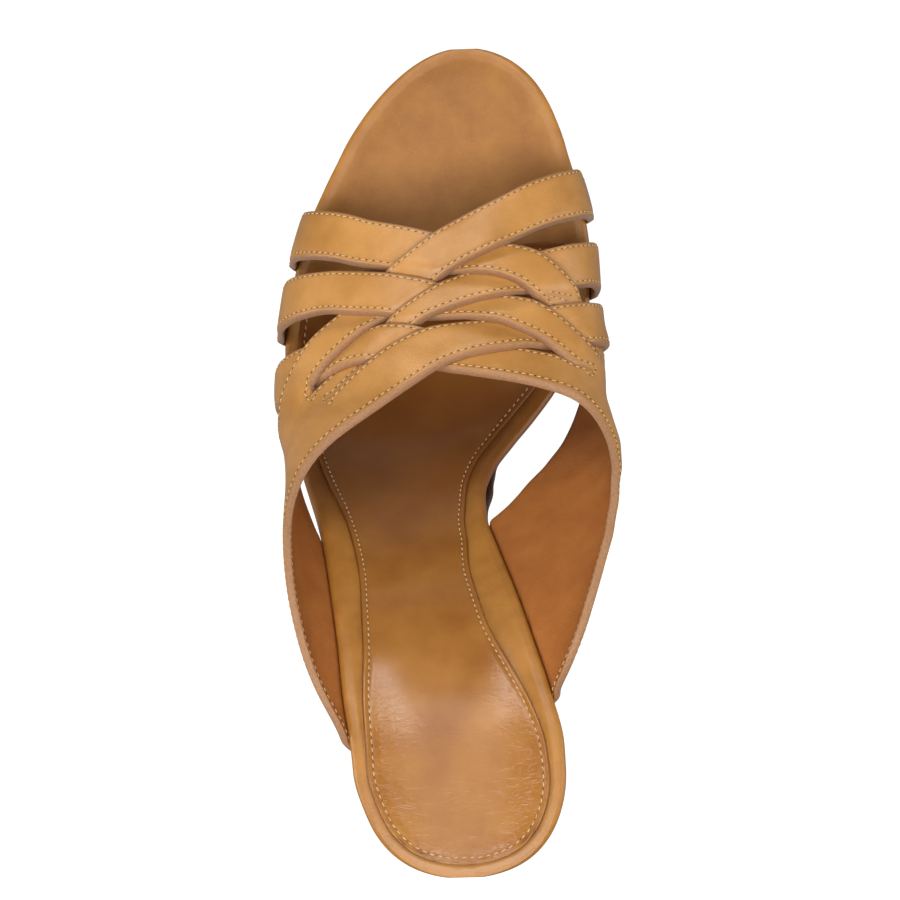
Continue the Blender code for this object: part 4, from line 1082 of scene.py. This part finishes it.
def lining_calf():
    """Unglazed lining calf: deeper and more orange than the outside, clouded over 7 mm, nearly matt."""
    material, shader, coords, add = new_material("lining calf, drum dyed")
    clouds = add("TexNoise", {"Vector": coords, "Scale": 140.0, "Detail": 6.0, "Roughness": 0.65})
    dye = add("Mix", {0: clouds, 6: "8E4F21", 7: "B47237"}, data_type="RGBA")
    rub = add("Attribute", {}, attribute_name="rub").outputs["Fac"]
    # grime along edges and stitches, and on the lining painted shade near the throat
    grimed_and_shaded = add("Mix", {0: rub, 6: dye, 7: EDGE_TONE}, data_type="RGBA")
    # pebbles of 0.4 mm, drawn at twice their size, and creases 3 mm apart
    pebbles = add("TexVoronoi", {"Vector": coords, "Scale": 1250.0}, feature="DISTANCE_TO_EDGE")
    creases = add("TexNoise", {"Vector": coords, "Scale": 330.0, "Detail": 7.0,
                               "Roughness": 0.75, "Distortion": 1.6})
    height = add("Math", {0: pebbles, 1: creases}, operation="ADD")
    bump = add("Bump", {"Height": height, "Distance": 0.16 * MM, "Strength": 0.8})
    haze = add("MapRange", {"Value": clouds, "To Min": 0.5, "To Max": 0.66})
    feed(shader, {"Base Color": grimed_and_shaded, "Normal": bump, "Roughness": haze, "IOR": 1.48,
                  "Specular IOR Level": 0.25})
    return material


strap_calf = calf("full-grain calf, pressed and waxed", "C99150", "AB7535", 0.34, mottle_mm=16.0, crease=0.35)
# the cut edges are coloured and rubbed down by hand: a dull pinkish brown with fibres of half a mm
edge_paint = flecked("cut leather edge, coloured and burnished", 1800.0, 4.0, "855A3A", "B98A60",
                     {"Roughness": 0.62, "Sheen Weight": 0.12, "Sheen Roughness": 0.5}, (0.09, 0.6))
hand_materials = [strap_calf, edge_paint, lining_calf()]
outer_hand, outer_rows = make_hand("outer_hand", "A", hand_materials)
inner_hand, inner_rows = make_hand("inner_hand", "B", hand_materials)

# ---- stitches ------------------------------------------------------------------------------------
# Waxed cream thread, lock stitched by machine at 13 stitches to 25 mm; each stitch sinks at both
# ends into a needle hole, a dimple coloured nearly black: a painted shadow of the hole.
STITCH_PITCH = 1.9
STITCH_LONG, STITCH_WIDE, STITCH_HIGH = 1.3, 0.33, 0.26
STITCH_SLANT = 7.0  # degrees, from the needle's cut
STITCH_OVER, STITCH_SINK = 0.08, 0.2  # its middle lies over the leather, its ends sink into it
STITCH_AROUND, STITCH_RINGS = 6, 7
# a needle hole is a shallow dimple, painted dark as its shadow: half length and half width, its rim over the
# leather, dip
HOLE_LONG, HOLE_WIDE, HOLE_OVER, HOLE_DIP = 0.24, 0.216, 0.03, 0.02
HOLE_AROUND = 8


def skin_points(piece, rows, from_inside=False):
    """Where lines of (depth, girth) lie on a hand's outer or inner skin: points and normals."""
    vertices = [Vector(v.co) / MM - Vector(PLACE) for v in piece.data.vertices]
    skin = BVHTree.FromPolygons(vertices, [tuple(p.vertices) for p in piece.data.polygons])
    found = []
    for row in rows:
        points, normals = [], []
        away = outward(row) * (-1 if from_inside else 1)
        for start, ray in zip(on_last(row) + away * 5.0, away):
            spot, normal, _, _ = skin.ray_cast(Vector(start), Vector(-ray), 8.0)
            if spot is not None:
                points.append(spot)
                normals.append(normal if normal.dot(Vector(ray)) > 0 else -normal)
        found.append((np.array(points), np.array(normals)))
    return found


def needle_thread(name, lines):
    """Stitches and needle holes along lines of points and normals, as one mesh."""
    points, faces, slots = [], [], []
    tilt = np.radians(STITCH_SLANT)
    thread_turns = np.linspace(0, 2 * np.pi, STITCH_AROUND, endpoint=False)
    hole_turns = np.linspace(0, 2 * np.pi, HOLE_AROUND, endpoint=False)
    for spots, normals in lines:
        run = run_along(spots)
        for middle in np.arange(STITCH_PITCH / 2, run[-1] - STITCH_PITCH / 2, STITCH_PITCH):
            back, centre, ahead, hole = (np.array([np.interp(middle + s, run, spots[:, k]) for k in range(3)])
                                         for s in (-STITCH_LONG / 2, 0, STITCH_LONG / 2, STITCH_PITCH / 2))
            up = unit(np.array([np.interp(middle, run, normals[:, k]) for k in range(3)]))
            reach = np.linalg.norm(ahead - back) / 2
            if reach < 0.2:
                continue
            along = unit(ahead - back)
            side = np.cross(up, along)
            lean = side * np.sin(tilt)
            along, side = along * np.cos(tilt) + lean, side * np.cos(tilt) - along * np.sin(tilt)
            first = len(points)
            for u in np.linspace(-1, 1, STITCH_RINGS):
                size = max(0.25, (1 - u**4)**0.5) / 2
                lie = STITCH_OVER - STITCH_SINK * u * u
                points += [centre + along * reach * u + side * STITCH_WIDE * size * np.cos(turn)
                           + up * (lie + STITCH_HIGH * size * np.sin(turn)) for turn in thread_turns]
            faces += [tuple(first + n for n in face) for face in tube_faces(STITCH_RINGS, STITCH_AROUND)]
            slots += [0] * (STITCH_AROUND * (STITCH_RINGS - 1) + 2)
            first = len(points)
            hole = hole + up * HOLE_OVER
            points.append(hole - up * HOLE_DIP)
            points += [hole + along * HOLE_LONG * np.cos(turn) + side * HOLE_WIDE * np.sin(turn)
                       for turn in hole_turns]
            faces += [(first, first + 1 + n, first + 1 + (n + 1) % HOLE_AROUND) for n in range(HOLE_AROUND)]
            slots += [1] * HOLE_AROUND
    return new_piece(name, points, faces, [thread, needle_hole_shadow], slots)


# the ply repeats every 0.4 mm, which is drawn as it is and only shows close up
thread = flecked("waxed cotton thread, cream", 2500.0, 2.0, "B58A54", "E6C892", {"Roughness": 0.6},
                 (0.08, 0.7))
# the holes are matt and nearly black: a painted shadow of the hole
needle_hole_shadow = flecked("needle hole, painted shadow", 3000.0, 2.0, "3A2010", "6A4022", {"Roughness": 0.8})

needle_thread("outer_hand_stitches", skin_points(outer_hand, outer_rows))
needle_thread("inner_hand_stitches", skin_points(inner_hand, inner_rows))
# the topline's row shows on the lining too: from this depth back, on this side of the foot
LINING_GIRTH = 20.0
lining_lines = []
for piece, rows, start, side in ((outer_hand, outer_rows, 92.0, -1), (inner_hand, inner_rows, 84.0, 1)):
    shown = (rows[1][:, 0] > start) & (rows[1][:, 1] * side > LINING_GIRTH)
    lining_lines += skin_points(piece, [rows[1][shown]], from_inside=True)
needle_thread("lining_stitches", lining_lines)

low, high = sock_limits(sock_rows, SOCK_STITCH)
keep = (sock_rows > SOCK_FRONT + SOCK_STITCH) & (sock_rows < sock_end - SOCK_STITCH) & (high - low > 1.0)
x = np.concatenate([low[keep], high[keep][::-1]])
arcs = slanted(np.concatenate([sock_rows[keep], sock_rows[keep][::-1]]), x)
line = dense(np.stack([np.append(arcs, arcs[0]), np.append(x, x[0])], 1))
level = dish(*line.T) + SOCK_GAP + SOCK_THICK * STITCH_LEVEL
spots = on_bed(*line.T, level)
needle_thread("sock_stitches", [(spots, on_bed(*line.T, level + 1.0) - spots)])
